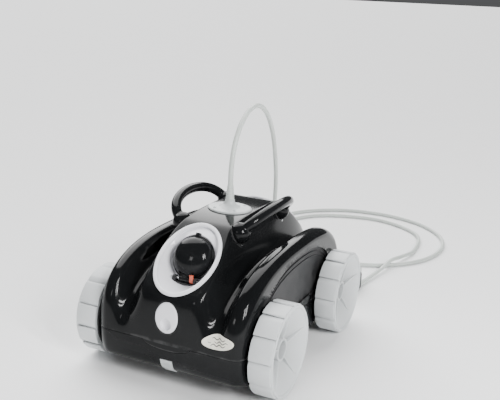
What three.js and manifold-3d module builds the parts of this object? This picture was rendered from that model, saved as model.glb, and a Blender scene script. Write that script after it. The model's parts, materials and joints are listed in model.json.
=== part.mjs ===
// Jet-driven pool cleaner on four wheels: a domed cover on a low tub, two jet
// outlets with hinged flaps, two carry handles and a floating power cable.
// Millimetres, +Z up, front towards -Y, origin on the floor under the middle.
import * as THREE from 'three';
import { mergeVertices } from 'three/addons/utils/BufferGeometryUtils.js';
import Module from 'manifold-3d';

const wasm = await Module();
wasm.setup();

// ---- clearances -----------------------------------------------------------
const seatGap = 0.3; // between two pieces that touch
const runGap = 0.25; // radial, between a shaft and its bore
const cutMargin = 1; // how far a cutting tool passes the face that it cuts

// ---- body -----------------------------------------------------------------
const bodyHalfLength = 212;
const bodyHalfWidth = 127;
const cornerRadius = 22;
const seamZ = 76;
const spineZ = 238;
const valleyZ = 173;
const fenderZ = 197.5;
const spineFlat = 40; // half width of the level top of the spine
const spineFoot = 76; // where its flank meets the valley
const fenderFoot = 82;
const fenderCrest = 104;
const fenderRound = 110; // outboard of this the fender rolls over
const fenderDrop = 15.5;
const wall = 3;
const humpPower = 2.8; // how square the arch is along the spine and fenders
const valleyPower = 2.0;
const skirtBottomZ = 28;
const skirtTuck = 20; // how far the skirt rolls in at its lower edge
const skirtPower = 2.6;
const floorThickness = 3.5;
const tongueHalfWidth = 40; // the cover's lip below the release button
const tongueDrop = 11;

// ---- side panel -----------------------------------------------------------
const archBaseZ = 90;
const archHalfLength = 150;
const archHeight = 86;
const archPower = 2.3;
const panelLap = 3;
const panelThickness = 2.5;
const panelRibInset = 9;
const panelRibWidth = 2;
const panelRibHeight = 1.2;

// ---- wheels ---------------------------------------------------------------
const wheelRadius = 72.5;
const wheelWidth = 37.5;
const wheelbase = 268;
const wheelStandoff = 5.5; // from the body's side to the back of each wheel
const treadBlocks = 12;
const treadDepth = 3;
const treadGroove = 0.22; // share of a block's pitch that its groove takes
const rimBand = 4;
const dishDepth = 22;
const hubRadius = 18;
const hubInset = 14;
const hubBoreRadius = 14;
const hubBoreDepth = 18;
const wheelShell = 3.5;
const wheelSpokes = 5;
const spokeWidth = 2.6;
const axleRadius = 6;
const axleBossRadius = 11;
const axleBossLength = 24;
const discRadius = 66;
const discThickness = 3;
const capRadius = 12;
const capThickness = 5;

// ---- how finely the curved pieces are cut ---------------------------------
const stationShares = [0, 0.3, 0.39, 0.46, 0.53, 0.6, 0.67, 0.74, 0.8, 0.86, 0.92, 0.97, 1];
const archSteps = 14; // from the front edge over the top to the rear edge
const ringPoints = 24; // round each jet and mouth outline

// ---- jets -----------------------------------------------------------------
const jetY = -149.5; // middle of the rim
const jetZ = 190.8;
const jetSlope = THREE.MathUtils.degToRad(36.8);
const jetHalfWidth = 50.5;
const jetHalfLength = 68.5;
const jetRimWidth = 6.5;
const jetRimThickness = 3.5;
const bucketWall = 3;
const mouthY = -131;
const mouthZ = 187;
const mouthSlope = THREE.MathUtils.degToRad(62);
const mouthRadius = 32.5;
const bowlRoom = 4.4; // between the mouth and the bowl's wall
const bowlSag = 1.8;
const ductWall = 3;
const ductZ = 184;
const ductHalfLength = 90;
const flapLap = 2.8; // how far the closed flap covers the mouth's edge
const flapThickness = 3;
const domeHeight = 22;
const domeSweep = 0.96; // share of a quarter turn that its profile takes
const hingeBelow = 3; // hinge below the mouth's edge, along its slope
const hingeOut = 10.5; // and in front of the mouth
const hingePinRadius = 1.6;
const hingeDrum = 4.5; // radius round the pin
const hingeEarX = 18; // middle of each hinge ear
const hingeEarWidth = 5;
const hingePinHalf = 21;
const clipX = 12.2;
const clipWidth = 5.5;
const clipHeight = 9.5;

// ---- buttons, badge, latches ----------------------------------------------
const buttonZ = 117;
const buttonHalfWidth = 19;
const buttonHalfHeight = 23.5;
const buttonProud = 2.5;
const buttonDepth = 9;
const dimpleRadius = 9;
const dimpleDrop = 10;
const badgeX = 86;
const badgeZ = 100;
const badgeHalfWidth = 26;
const badgeHalfHeight = 13;
const badgeTilt = THREE.MathUtils.degToRad(-10);
const badgeThickness = 1.3;
const latchHalfWidth = 10.5;
const latchTopZ = 48.5;
const latchTopRoom = 1.6; // above it, for its top to swing out past the tub
const latchThickness = 4;
const latchSeat = 8; // from the door's end to the back of the latch's slot
const latchHookThickness = 2.2;
const latchHookLap = 4; // how far the hook reaches under the door

// ---- gland, handles -------------------------------------------------------
const glandY = -14;
const glandHalfWidth = 38;
const glandHalfLength = 31;
const glandThickness = 3.4;
const glandBossRadius = 20;
const glandBossTop = 8;
const glandTopZ = 254;
const reliefHeight = 24;
const reliefRadius = 7.5;
const reliefTip = 5.2;
const handleX = 51.5;
const handleY = 78;
const handleZ = 222;
const handleRise = 47;
const handleTilt = THREE.MathUtils.degToRad(45);
const handleRadius = 8.5;
const handleBall = 17;
const screwRadius = 2.4;
const screwHead = 6.5;
const screwHeadHeight = 3;
const screwReach = 11;

// ---- inside ---------------------------------------------------------------
const doorHalfWidth = 98;
const doorHalfLength = 180;
const doorThickness = 3.2;
const mouthSlotX = 60; // half width of each suction mouth
const mouthSlotY = 11;
const mouthSlotAt = 120; // its middle, from the middle of the machine
const inletFlapThickness = 2;
const inletFlapLap = 3;
const basketHalfWidth = 88;
const basketHalfLength = 148;
const basketTopZ = 98;
const basketWall = 2.5;
const basketWellRadius = 32;
const basketSlotWidth = 4;
const basketSlotPitch = 24;
const motorRadius = 26;
const motorBottomZ = 34;
const bridgeZ = 104; // underside of the plate that the motor hangs from
const bridgeThickness = 4.5;
const bridgeRadius = 48;
const bridgeHoles = 6;
const bridgeHoleRadius = 6;
const bridgeHoleAt = 34;
const bridgeLegX = 106;
const bridgeHalfDepth = 13;
const shaftRadius = 3;
const sealRadius = 9;
const pumpRadius = 39; // bore of the pump tube
const pumpTopZ = 186;
const impellerZ = 126;
const impellerHub = 8;
const impellerHeight = 18;
const impellerBlades = 4;
const bladePitch = THREE.MathUtils.degToRad(32);

// ---- cable ----------------------------------------------------------------
const cableDiameter = 8.5;
const coilX = 40;
const coilGap = 31; // from the tub's rear face to the coil
const coilMeanRadius = 75;
const coilSection = 34;
const coilLift = 2.2; // the ties lie under it
const tieWall = 1.6;
const tieWidth = 9;
const tieGap = 0.8;
const connectorLength = 62;
const connectorRadius = 10.5;
const plugNeck = 15; // length of its tapered end
const plugNoseRadius = 5;
const plugX = 30; // from the coil's axis to the connector's
const plugY = 23; // from the coil's middle forward to the connector's nose
// Up out of the gland, over and down behind the machine, round two loose
// turns on the floor and in to the tied coil.
const cableRoute = [
  [0, -14, 278.8], [0, -13, 306], [0, -4, 342], [-1, 20, 374], [-4, 62, 395],
  [-9, 112, 392], [-15, 160, 368], [-22, 203, 326], [-31, 242, 270],
  [-42, 276, 206], [-70, 334, 80], [-88, 364, 34], [-110, 398, 10],
  [-136, 438, 4.6], [-180, 518, 4.6], [-212, 618, 4.6], [-207, 726, 4.6],
  [-160, 812, 4.6], [-75, 873, 4.6], [30, 889, 4.6], [130, 855, 4.6],
  [203, 778, 4.6], [229, 678, 4.6], [206, 572, 4.6], [142, 496, 4.6],
  [50, 458, 4.6], [-50, 461, 4.6], [-138, 500, 4.6], [-190, 590, 4.6],
  [-180, 690, 4.6], [-120, 786, 4.6], [6, 832, 4.6], [94, 806, 4.6],
  [156, 744, 4.6], [174, 624, 5], [162, 560, 9], [151, 505, 14.5],
  [144, 455, 9], [137, 410, 7], [131.5, 369, 6.8],
];

// ---- colours --------------------------------------------------------------
const finish = {
  black: { color: 0x0b0c0d, roughness: 0.16, metalness: 0 },
  satin: { color: 0x141516, roughness: 0.45, metalness: 0 },
  wheel: { color: 0xd5d9da, roughness: 0.48, metalness: 0 },
  white: { color: 0xdcdde6, roughness: 0.25, metalness: 0 },
  grey: { color: 0xb9bfbf, roughness: 0.4, metalness: 0 },
  cable: { color: 0xc9d3cc, roughness: 0.5, metalness: 0 },
  cream: { color: 0xe7e2cf, roughness: 0.35, metalness: 0 },
  red: { color: 0xb5402f, roughness: 0.4, metalness: 0 },
  steel: { color: 0xc4c7c9, roughness: 0.25, metalness: 1 },
};

// ---- solids ---------------------------------------------------------------
const cleaner = new THREE.Group();

function outward(geometry) {
  const at = geometry.attributes.position;
  const index = geometry.index.array;
  const corner = [new THREE.Vector3(), new THREE.Vector3(), new THREE.Vector3()];
  let volume = 0;
  for (let i = 0; i < index.length; i += 3) {
    corner.forEach((v, k) => v.fromBufferAttribute(at, index[i + k]));
    volume += corner[0].dot(corner[1].cross(corner[2]));
  }
  if (volume < 0) {
    for (let i = 0; i < index.length; i += 3) {
      [index[i], index[i + 1]] = [index[i + 1], index[i]];
    }
  }
  return geometry;
}

function solid(geometry) {
  const bare = geometry.clone();
  Object.keys(bare.attributes).forEach((name) => name !== 'position' && bare.deleteAttribute(name));
  const merged = outward(mergeVertices(bare, 1e-4));
  return new wasm.Manifold(new wasm.Mesh({
    numProp: 3,
    vertProperties: new Float32Array(merged.attributes.position.array),
    triVerts: new Uint32Array(merged.index.array),
  }));
}

function unite(solids) {
  return solids.reduce((whole, piece) => whole.add(piece));
}

function without(body, cutters) {
  return cutters.reduce((rest, cutter) => rest.subtract(cutter), body);
}

function add(name, body, look) {
  const mesh = body.getMesh();
  const geometry = new THREE.BufferGeometry();
  geometry.setAttribute('position', new THREE.BufferAttribute(mesh.vertProperties, 3));
  geometry.setIndex(new THREE.BufferAttribute(mesh.triVerts, 1));
  geometry.computeVertexNormals();
  const node = new THREE.Mesh(geometry, new THREE.MeshStandardMaterial(finish[look]));
  node.name = name;
  cleaner.add(node);
}

function box(low, high) {
  const size = high.map((value, i) => value - low[i]);
  const middle = high.map((value, i) => (value + low[i]) / 2);
  return solid(new THREE.BoxGeometry(...size).translate(...middle));
}

// A cylinder or cone from one point to another.
function rod(from, to, radius, endRadius = radius, facets = 18) {
  const start = new THREE.Vector3(...from);
  const run = new THREE.Vector3(...to).sub(start);
  const geometry = new THREE.CylinderGeometry(endRadius, radius, run.length(), facets);
  geometry.translate(0, run.length() / 2, 0);
  const turn = new THREE.Quaternion();
  turn.setFromUnitVectors(new THREE.Vector3(0, 1, 0), run.clone().normalize());
  return solid(geometry.applyQuaternion(turn).translate(start.x, start.y, start.z));
}

// A closed solid through rings of points, every ring with the same count.
function loft(rings) {
  const count = rings[0].length;
  const points = rings.flat();
  const index = [];
  for (let r = 0; r + 1 < rings.length; r += 1) {
    for (let i = 0; i < count; i += 1) {
      const a = r * count + i;
      const b = r * count + ((i + 1) % count);
      index.push(a, b, b + count, a, b + count, a + count);
    }
  }
  [rings[0], rings[rings.length - 1]].forEach((ring, end) => {
    const first = end ? (rings.length - 1) * count : 0;
    const hub = points.length;
    points.push(ring.reduce((sum, p) => sum.add(p), new THREE.Vector3()).divideScalar(count));
    for (let i = 0; i < count; i += 1) {
      const pair = [first + i, first + ((i + 1) % count)];
      index.push(hub, pair[end ? 0 : 1], pair[end ? 1 : 0]);
    }
  });
  return solid(new THREE.BufferGeometry().setFromPoints(points).setIndex(index));
}

function mirrored(body, [x, y]) {
  const mesh = body.getMesh();
  const geometry = new THREE.BufferGeometry();
  const points = mesh.vertProperties.slice();
  for (let i = 0; i < points.length; i += 3) {
    points[i] *= x;
    points[i + 1] *= y;
  }
  geometry.setAttribute('position', new THREE.BufferAttribute(points, 3));
  geometry.setIndex(new THREE.BufferAttribute(mesh.triVerts.slice(), 1));
  return solid(geometry);
}

const sides = [['left', -1], ['right', 1]];
const ends = [['front', -1], ['rear', 1]];

// ---- body surfaces --------------------------------------------------------
function ease(value, low, high) {
  return THREE.MathUtils.smoothstep(value, low, high);
}

function crownAt(x) {
  const at = Math.min(Math.abs(x), bodyHalfWidth);
  const spine = 1 - ease(at, spineFlat, spineFoot);
  const fender = ease(at, fenderFoot, fenderCrest);
  const roll = Math.max(at - fenderRound, 0) / (bodyHalfWidth - fenderRound);
  return {
    z: valleyZ + (spineZ - valleyZ) * spine + (fenderZ - valleyZ) * fender - fenderDrop * roll ** 2,
    power: valleyPower + (humpPower - valleyPower) * Math.max(spine, fender),
  };
}

// Half length of the body at x, where grow moves the surface out or in.
function outlineAt(x, grow) {
  const radius = cornerRadius + grow;
  const into = Math.max(Math.abs(x) - (bodyHalfWidth - cornerRadius), 0);
  return bodyHalfLength - cornerRadius + Math.sqrt(Math.max(radius ** 2 - into ** 2, 0));
}

function coverBlock(grow) {
  const reach = bodyHalfWidth + grow;
  const shares = [...stationShares.slice(1).reverse().map((s) => -s), ...stationShares];
  const rings = shares.map((share) => {
    const x = share * reach;
    const near = [x - grow, x, x + grow].map((value) => crownAt(value));
    const heights = near.map((crown) => crown.z);
    const top = (grow < 0 ? Math.min(...heights) : Math.max(...heights)) + grow;
    const length = outlineAt(x, grow);
    const ring = [];
    for (let i = 0; i <= archSteps; i += 1) {
      const angle = (Math.PI * i) / archSteps;
      const swing = Math.cos(angle);
      const y = -Math.sign(swing) * Math.abs(swing) ** (2 / near[1].power) * length;
      const rise = Math.sin(angle) ** (2 / near[1].power);
      ring.push(new THREE.Vector3(x, y, i % archSteps ? seamZ + (top - seamZ) * rise : seamZ));
    }
    return ring;
  });
  return loft(rings);
}

function outline(grow, inset, z) {
  const radius = cornerRadius + grow;
  const x = bodyHalfWidth - cornerRadius;
  const y = bodyHalfLength - cornerRadius - inset;
  const ring = [];
  [[1, 1], [-1, 1], [-1, -1], [1, -1]].forEach(([sx, sy], quarter) => {
    for (let i = 0; i <= 5; i += 1) {
      const angle = (quarter + i / 5) * (Math.PI / 2);
      const across = radius * Math.cos(angle);
      const along = radius * Math.sin(angle);
      ring.push(new THREE.Vector3(sx * x + across, sy * y + along, z));
    }
  });
  return ring;
}

function skirtInset(z) {
  const down = THREE.MathUtils.clamp((seamZ - z) / (seamZ - skirtBottomZ), 0, 1);
  return skirtTuck * (1 - (1 - down ** skirtPower) ** (1 / skirtPower));
}

function tubBlock(grow, lowZ, highZ, insetAt) {
  const levels = 6;
  const rings = [];
  for (let i = 0; i <= levels; i += 1) {
    const z = lowZ + (highZ - lowZ) * (i / levels) ** 1.6;
    rings.push(outline(grow, insetAt(z), z));
  }
  return loft(rings);
}

// ---- frames on the sloping jet and mouth planes ---------------------------
const flapRadius = mouthRadius + flapLap;
const hingeDrop = mouthRadius + hingeBelow;

function planePoint(y, z, slope, x, along, out) {
  return new THREE.Vector3(
    x,
    y + along * Math.cos(slope) - out * Math.sin(slope),
    z + along * Math.sin(slope) + out * Math.cos(slope),
  );
}

function planeRing(y, z, slope, halfWidth, halfLength, out, count = ringPoints) {
  const ring = [];
  for (let i = 0; i < count; i += 1) {
    const angle = (2 * Math.PI * i) / count;
    ring.push(planePoint(y, z, slope, halfWidth * Math.cos(angle), halfLength * Math.sin(angle), out));
  }
  return ring;
}

function jetRing(shrink, out) {
  return planeRing(jetY, jetZ, jetSlope, jetHalfWidth - shrink, jetHalfLength - shrink, out);
}

function mouthRing(radius, out) {
  return planeRing(mouthY, mouthZ, mouthSlope, radius, radius, out);
}

// The bucket's bowl round the mouth, deeper below it to clear the hinge.
function bowlRing(grow, out) {
  const radius = mouthRadius + bowlRoom + grow;
  const centre = planePoint(mouthY, mouthZ, mouthSlope, 0, -bowlSag, 0);
  return planeRing(centre.y, centre.z, mouthSlope, radius, radius + bowlSag, out);
}

// Everything outside the sloping facet that the jet rim sits on.
function facetCutter(out) {
  const reach = 130;
  const square = (level) => [[-1, -1], [1, -1], [1, 1], [-1, 1]].map(
    ([x, along]) => planePoint(jetY, jetZ, jetSlope, x * jetHalfWidth * 1.4, along * reach, level),
  );
  return loft([square(out), square(out + reach)]);
}

function bothEnds(body) {
  return [body, mirrored(body, [1, -1])];
}

// ---- holes shared by neighbours -------------------------------------------
function ovalPrism(halfWidth, halfHeight, x, z, tilt, fromY, toY) {
  const ring = (y) => {
    const points = [];
    for (let i = 0; i < 36; i += 1) {
      const angle = (2 * Math.PI * i) / 36;
      const across = halfWidth * Math.cos(angle);
      const up = halfHeight * Math.sin(angle);
      points.push(new THREE.Vector3(
        x + across * Math.cos(tilt) - up * Math.sin(tilt),
        y,
        z + across * Math.sin(tilt) + up * Math.cos(tilt),
      ));
    }
    return points;
  };
  return loft([ring(fromY), ring(toY)]);
}

function archPrism(grow, fromX, toX) {
  const ring = (x) => {
    const points = [];
    for (let i = 0; i <= 20; i += 1) {
      const angle = (Math.PI * i) / 20;
      const swing = Math.cos(angle);
      const y = -Math.sign(swing) * Math.abs(swing) ** (2 / archPower) * (archHalfLength + grow);
      const z = archBaseZ - grow + (archHeight + 2 * grow) * Math.sin(angle) ** (2 / archPower);
      points.push(new THREE.Vector3(x, y, z));
    }
    return points;
  };
  return loft([ring(fromX), ring(toX)]);
}

function tonguePrism(grow) {
  const prism = (y) => {
    const points = [];
    for (let i = 0; i <= 20; i += 1) {
      const angle = (Math.PI * i) / 20;
      const x = -(tongueHalfWidth + grow) * Math.cos(angle);
      points.push(new THREE.Vector3(x, y, seamZ - (tongueDrop + grow) * Math.sin(angle)));
    }
    points.push(new THREE.Vector3(tongueHalfWidth + grow, y, seamZ + 2));
    points.push(new THREE.Vector3(-tongueHalfWidth - grow, y, seamZ + 2));
    return points;
  };
  return loft([prism(-bodyHalfLength - 10), prism(-bodyHalfLength + cornerRadius)]);
}

const axleY = wheelbase / 2;
const wheelBack = bodyHalfWidth + wheelStandoff;
const wheelFace = wheelBack + wheelWidth;
const ballSeat = (grow) => new THREE.SphereGeometry(handleBall + grow, 14, 8);
const ballPlaces = [];
for (const x of [-1, 1]) {
  for (const y of [-1, 1]) ballPlaces.push([x * handleX, y * handleY, handleZ]);
}
const doorTopZ = skirtBottomZ + doorThickness;

// ---- cover ----------------------------------------------------------------
function makeCover() {
  const shell = without(coverBlock(0), bothEnds(facetCutter(0)));
  const mouth = loft([outline(-wall, 0, seamZ - 4), outline(-wall, 0, seamZ + 0.01)]);
  const hollow = without(coverBlock(-wall).add(mouth), bothEnds(facetCutter(-wall)));
  const skirtStrip = tubBlock(0, seamZ - 2 * tongueDrop, seamZ + 2, skirtInset);
  const skirtHollow = tubBlock(-wall, seamZ - 2 * tongueDrop - 1, seamZ + 3, skirtInset);
  const lip = skirtStrip.subtract(skirtHollow).intersect(tonguePrism(0));
  const holeInset = jetRimWidth - bucketWall - seatGap;
  const jetHole = loft([jetRing(holeInset, -40), jetRing(holeInset, 60)]);
  const buttonHole = ovalPrism(
    buttonHalfWidth + seatGap, buttonHalfHeight + seatGap, 0, buttonZ, 0,
    -bodyHalfLength - 5, -bodyHalfLength + 45,
  );
  const cuts = [...bothEnds(jetHole), ...bothEnds(buttonHole)];
  sides.forEach(([, side]) => {
    cuts.push(archPrism(0, side * (bodyHalfWidth - wall - cutMargin), side * (bodyHalfWidth + cutMargin)));
    [-axleY, axleY].forEach((y) => cuts.push(rod(
      [side * (bodyHalfWidth - wall - 8), y, wheelRadius],
      [side * (bodyHalfWidth + cutMargin), y, wheelRadius],
      axleBossRadius + seatGap,
    )));
  });
  ballPlaces.forEach(([x, y, z]) => {
    cuts.push(solid(ballSeat(seatGap).translate(x, y, z)));
    cuts.push(rod([x, y, z - handleBall - 10], [x, y, z - 5], screwHead + 2 * seatGap));
  });
  cuts.push(rod([0, glandY, spineZ - 3 * wall], [0, glandY, spineZ + wall], glandBossTop));
  return without(shell.subtract(hollow).add(unite(bothEnds(lip))), cuts);
}
add('upper_cover', makeCover(), 'black');

// ---- tub ------------------------------------------------------------------
function makeTub() {
  const outside = tubBlock(0, skirtBottomZ, seamZ - seatGap, skirtInset);
  const inside = tubBlock(-wall, skirtBottomZ + floorThickness, seamZ + 2, skirtInset);
  const doorHole = box(
    [-doorHalfWidth, -doorHalfLength, skirtBottomZ - 5],
    [doorHalfWidth, doorHalfLength, skirtBottomZ + floorThickness + 5],
  );
  let tub = outside.subtract(inside);
  sides.forEach(([, side]) => [-axleY, axleY].forEach((y) => {
    const boss = rod(
      [side * (bodyHalfWidth - axleBossLength), y, wheelRadius],
      [side * (bodyHalfWidth - 0.5), y, wheelRadius],
      axleBossRadius,
    );
    tub = tub.add(boss);
  }));
  const cuts = [doorHole, ...bothEnds(tonguePrism(seatGap))];
  sides.forEach(([, side]) => [-axleY, axleY].forEach((y) => cuts.push(rod(
    [side * (bodyHalfWidth - axleBossLength + 4), y, wheelRadius],
    [side * (bodyHalfWidth + cutMargin), y, wheelRadius],
    axleRadius + seatGap,
  ))));
  const latchHole = box(
    [-latchHalfWidth - seatGap, -bodyHalfLength - 5, skirtBottomZ - 5],
    [latchHalfWidth + seatGap, -doorHalfLength - latchSeat, latchTopZ + latchTopRoom],
  );
  return without(tub, [...cuts, ...bothEnds(latchHole)]);
}
add('tub', makeTub(), 'black');

// ---- side panels ----------------------------------------------------------
sides.forEach(([name, side]) => {
  const face = bodyHalfWidth - wall - seatGap;
  const plate = archPrism(panelLap, side * (face - panelThickness), side * face);
  const lap = [0, panelRibInset].map((inset) => {
    const outer = archPrism(-panelRibInset - inset, side * (face - 0.5), side * (face + panelRibHeight));
    return outer.subtract(archPrism(
      -panelRibInset - inset - panelRibWidth, side * (face - 2), side * (face + 5),
    ));
  });
  add(`side_panel_${name}`, unite([plate, ...lap]), 'satin');
});

// ---- bottom door, inlet flaps, latches ------------------------------------
function makeDoor() {
  const gap = 0.6;
  const plate = box(
    [-doorHalfWidth + gap, -doorHalfLength + gap, skirtBottomZ],
    [doorHalfWidth - gap, doorHalfLength - gap, doorTopZ],
  );
  const slots = ends.map(([, end]) => box(
    [-mouthSlotX, end * mouthSlotAt - mouthSlotY, skirtBottomZ - 5],
    [mouthSlotX, end * mouthSlotAt + mouthSlotY, doorTopZ + 5],
  ));
  return without(plate, slots);
}
add('bottom_door', makeDoor(), 'satin');

const inletPivotY = mouthSlotAt - mouthSlotY - inletFlapLap;
const inletPivotZ = doorTopZ + seatGap + inletFlapThickness / 2;
ends.forEach(([name, end]) => {
  const low = Math.min(end * inletPivotY, end * (mouthSlotAt + mouthSlotY + inletFlapLap));
  const high = Math.max(end * inletPivotY, end * (mouthSlotAt + mouthSlotY + inletFlapLap));
  add(`inlet_flap_${name}`, box(
    [-mouthSlotX - inletFlapLap, low, inletPivotZ - inletFlapThickness / 2],
    [mouthSlotX + inletFlapLap, high, inletPivotZ + inletFlapThickness / 2],
  ), 'satin');
});

function makeLatch() {
  const keep = box(
    [-latchHalfWidth, -bodyHalfLength - 5, skirtBottomZ - latchHookThickness - 1],
    [latchHalfWidth, -doorHalfLength - latchSeat - seatGap, latchTopZ],
  );
  const skin = tubBlock(0, skirtBottomZ, seamZ, skirtInset)
    .subtract(tubBlock(-latchThickness, skirtBottomZ - 1, seamZ + 1, skirtInset));
  const hookTop = skirtBottomZ - seatGap;
  const hook = box(
    [-latchHalfWidth, -bodyHalfLength + skirtTuck - 4, hookTop - latchHookThickness],
    [latchHalfWidth, -doorHalfLength + latchHookLap, hookTop],
  );
  const heel = box(
    [-latchHalfWidth, -bodyHalfLength + skirtTuck - 4, hookTop - latchHookThickness],
    [latchHalfWidth, -bodyHalfLength + skirtTuck, skirtBottomZ + 3],
  );
  return unite([skin.intersect(keep), hook, heel]);
}
bothEnds(makeLatch()).forEach((latch, i) => add(`door_latch_${ends[i][0]}`, latch, 'grey'));

// ---- filter basket --------------------------------------------------------
function makeBasket() {
  const lowZ = doorTopZ + seatGap;
  const outer = box(
    [-basketHalfWidth, -basketHalfLength, lowZ],
    [basketHalfWidth, basketHalfLength, basketTopZ],
  );
  const inner = box(
    [-basketHalfWidth + basketWall, -basketHalfLength + basketWall, lowZ - 1],
    [basketHalfWidth - basketWall, basketHalfLength - basketWall, basketTopZ - basketWall],
  );
  const well = rod([0, 0, lowZ], [0, 0, basketTopZ], basketWellRadius + basketWall, undefined, 24);
  const cuts = [rod([0, 0, 0], [0, 0, basketTopZ + 5], basketWellRadius, undefined, 24)];
  const slotLow = lowZ + 8;
  const slotHigh = basketTopZ - 8;
  for (let y = -5 * basketSlotPitch; y <= 5 * basketSlotPitch; y += basketSlotPitch) {
    cuts.push(box(
      [-basketHalfWidth - 5, y - basketSlotWidth / 2, slotLow],
      [-basketHalfWidth + basketWall + 1, y + basketSlotWidth / 2, slotHigh],
    ));
    cuts.push(box(
      [basketHalfWidth - basketWall - 1, y - basketSlotWidth / 2, slotLow],
      [basketHalfWidth + 5, y + basketSlotWidth / 2, slotHigh],
    ));
    if (Math.abs(y) > basketWellRadius + basketSlotPitch / 2) {
      cuts.push(box(
        [-basketHalfWidth + 15, y - basketSlotWidth / 2, basketTopZ - 5],
        [basketHalfWidth - 15, y + basketSlotWidth / 2, basketTopZ + 5],
      ));
    }
  }
  return without(outer.subtract(inner).add(well), cuts);
}
add('filter_basket', makeBasket(), 'grey');

// ---- pump -----------------------------------------------------------------
function makeBridge() {
  const plate = rod([0, 0, bridgeZ], [0, 0, bridgeZ + bridgeThickness], bridgeRadius, undefined, 28);
  const beam = box(
    [-bridgeLegX, -bridgeHalfDepth, bridgeZ],
    [bridgeLegX, bridgeHalfDepth, bridgeZ + bridgeThickness],
  );
  const legs = sides.map(([, side]) => box(
    [Math.min(side * bridgeLegX, side * (bridgeLegX - 5)), -bridgeHalfDepth, doorTopZ + 2 * seatGap],
    [Math.max(side * bridgeLegX, side * (bridgeLegX - 5)), bridgeHalfDepth, bridgeZ + 1],
  ));
  const cuts = [rod([0, 0, bridgeZ - 5], [0, 0, bridgeZ + 10], sealRadius + seatGap)];
  for (let i = 0; i < bridgeHoles; i += 1) {
    const angle = (2 * Math.PI * (i + 0.5)) / bridgeHoles;
    const x = bridgeHoleAt * Math.cos(angle);
    const y = bridgeHoleAt * Math.sin(angle);
    cuts.push(rod([x, y, bridgeZ - 5], [x, y, bridgeZ + 10], bridgeHoleRadius, undefined, 12));
  }
  return without(unite([plate, beam, ...legs]), cuts);
}
add('motor_bridge', makeBridge(), 'satin');

function latheSolid(profile, segments) {
  const points = profile.map(([r, z]) => new THREE.Vector2(r, z));
  return solid(new THREE.LatheGeometry(points, segments).rotateX(Math.PI / 2));
}

const motorTopZ = bridgeZ - seatGap;
add('motor_housing', latheSolid([
  [0, motorBottomZ], [motorRadius - 5, motorBottomZ], [motorRadius, motorBottomZ + 5],
  [motorRadius, motorTopZ - 8], [motorRadius - 3, motorTopZ], [shaftRadius + 1, motorTopZ],
  [shaftRadius + 1, motorTopZ - 12], [0, motorTopZ - 12],
], 20), 'satin');
add('motor_shaft', rod(
  [0, 0, motorTopZ - 11], [0, 0, impellerZ + impellerHeight - 2], shaftRadius,
), 'steel');
add('shaft_seal', rod([0, 0, bridgeZ], [0, 0, bridgeZ + bridgeThickness + 2], sealRadius)
  .subtract(rod([0, 0, bridgeZ - 5], [0, 0, bridgeZ + 15], shaftRadius + runGap)), 'satin');

function makeImpeller() {
  const hub = rod([0, 0, impellerZ], [0, 0, impellerZ + impellerHeight], impellerHub);
  const length = pumpRadius - 1.5 - impellerHub / 2;
  const blades = [];
  for (let i = 0; i < impellerBlades; i += 1) {
    const blade = new THREE.BoxGeometry(length, 2.2, impellerHeight - 1);
    blade.rotateX(bladePitch).translate(length / 2 + impellerHub / 2, 0, impellerZ + impellerHeight / 2);
    blades.push(solid(blade.rotateZ((2 * Math.PI * i) / impellerBlades)));
  }
  const bore = rod(
    [0, 0, impellerZ - 5], [0, 0, impellerZ + impellerHeight - 2 + seatGap], shaftRadius + seatGap,
  );
  return unite([hub, ...blades]).subtract(bore);
}
add('impeller', makeImpeller(), 'grey');

// ---- duct from the pump to both jets --------------------------------------
const mouthBack = -seatGap - bucketWall;

function ductBlock(shrink, endOut) {
  const radius = mouthRadius + ductWall - shrink;
  const upright = planeRing(-ductHalfLength, ductZ, Math.PI / 2, radius, radius, 0);
  const front = loft([mouthRing(radius, endOut), upright]);
  const middle = loft([upright, upright.map((p) => new THREE.Vector3(p.x, -p.y, p.z))]);
  return unite([front, middle, mirrored(front, [1, -1])]);
}

function makeDuct() {
  const lowZ = bridgeZ + bridgeThickness + seatGap;
  const tube = rod([0, 0, lowZ], [0, 0, pumpTopZ + ductWall], pumpRadius + ductWall, undefined, 28);
  const bore = rod([0, 0, lowZ - 5], [0, 0, pumpTopZ], pumpRadius, undefined, 28);
  const outer = ductBlock(0, mouthBack - seatGap).add(tube);
  return outer.subtract(ductBlock(ductWall, mouthBack - seatGap)).subtract(bore)
    .subtract(loft([mouthRing(mouthRadius, mouthBack + 4), mouthRing(mouthRadius, mouthBack - 3)]))
    .subtract(mirrored(
      loft([mouthRing(mouthRadius, mouthBack + 4), mouthRing(mouthRadius, mouthBack - 3)]), [1, -1],
    ));
}
add('flow_duct', makeDuct(), 'satin');

// ---- jet buckets and flaps ------------------------------------------------
const hinge = planePoint(mouthY, mouthZ, mouthSlope, 0, -hingeDrop, hingeOut);

function earBlock(x, width) {
  const drum = rod(
    [x - width / 2, hinge.y, hinge.z], [x + width / 2, hinge.y, hinge.z], hingeDrum, undefined, 14,
  );
  const foot = box(
    [x - width / 2, hinge.y - hingeDrum, hinge.z - 3 * hingeDrum],
    [x + width / 2, hinge.y + hingeDrum, hinge.z],
  );
  return drum.add(foot);
}

function pinBore() {
  return rod([-40, hinge.y, hinge.z], [40, hinge.y, hinge.z], hingePinRadius + runGap, undefined, 12);
}

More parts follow.
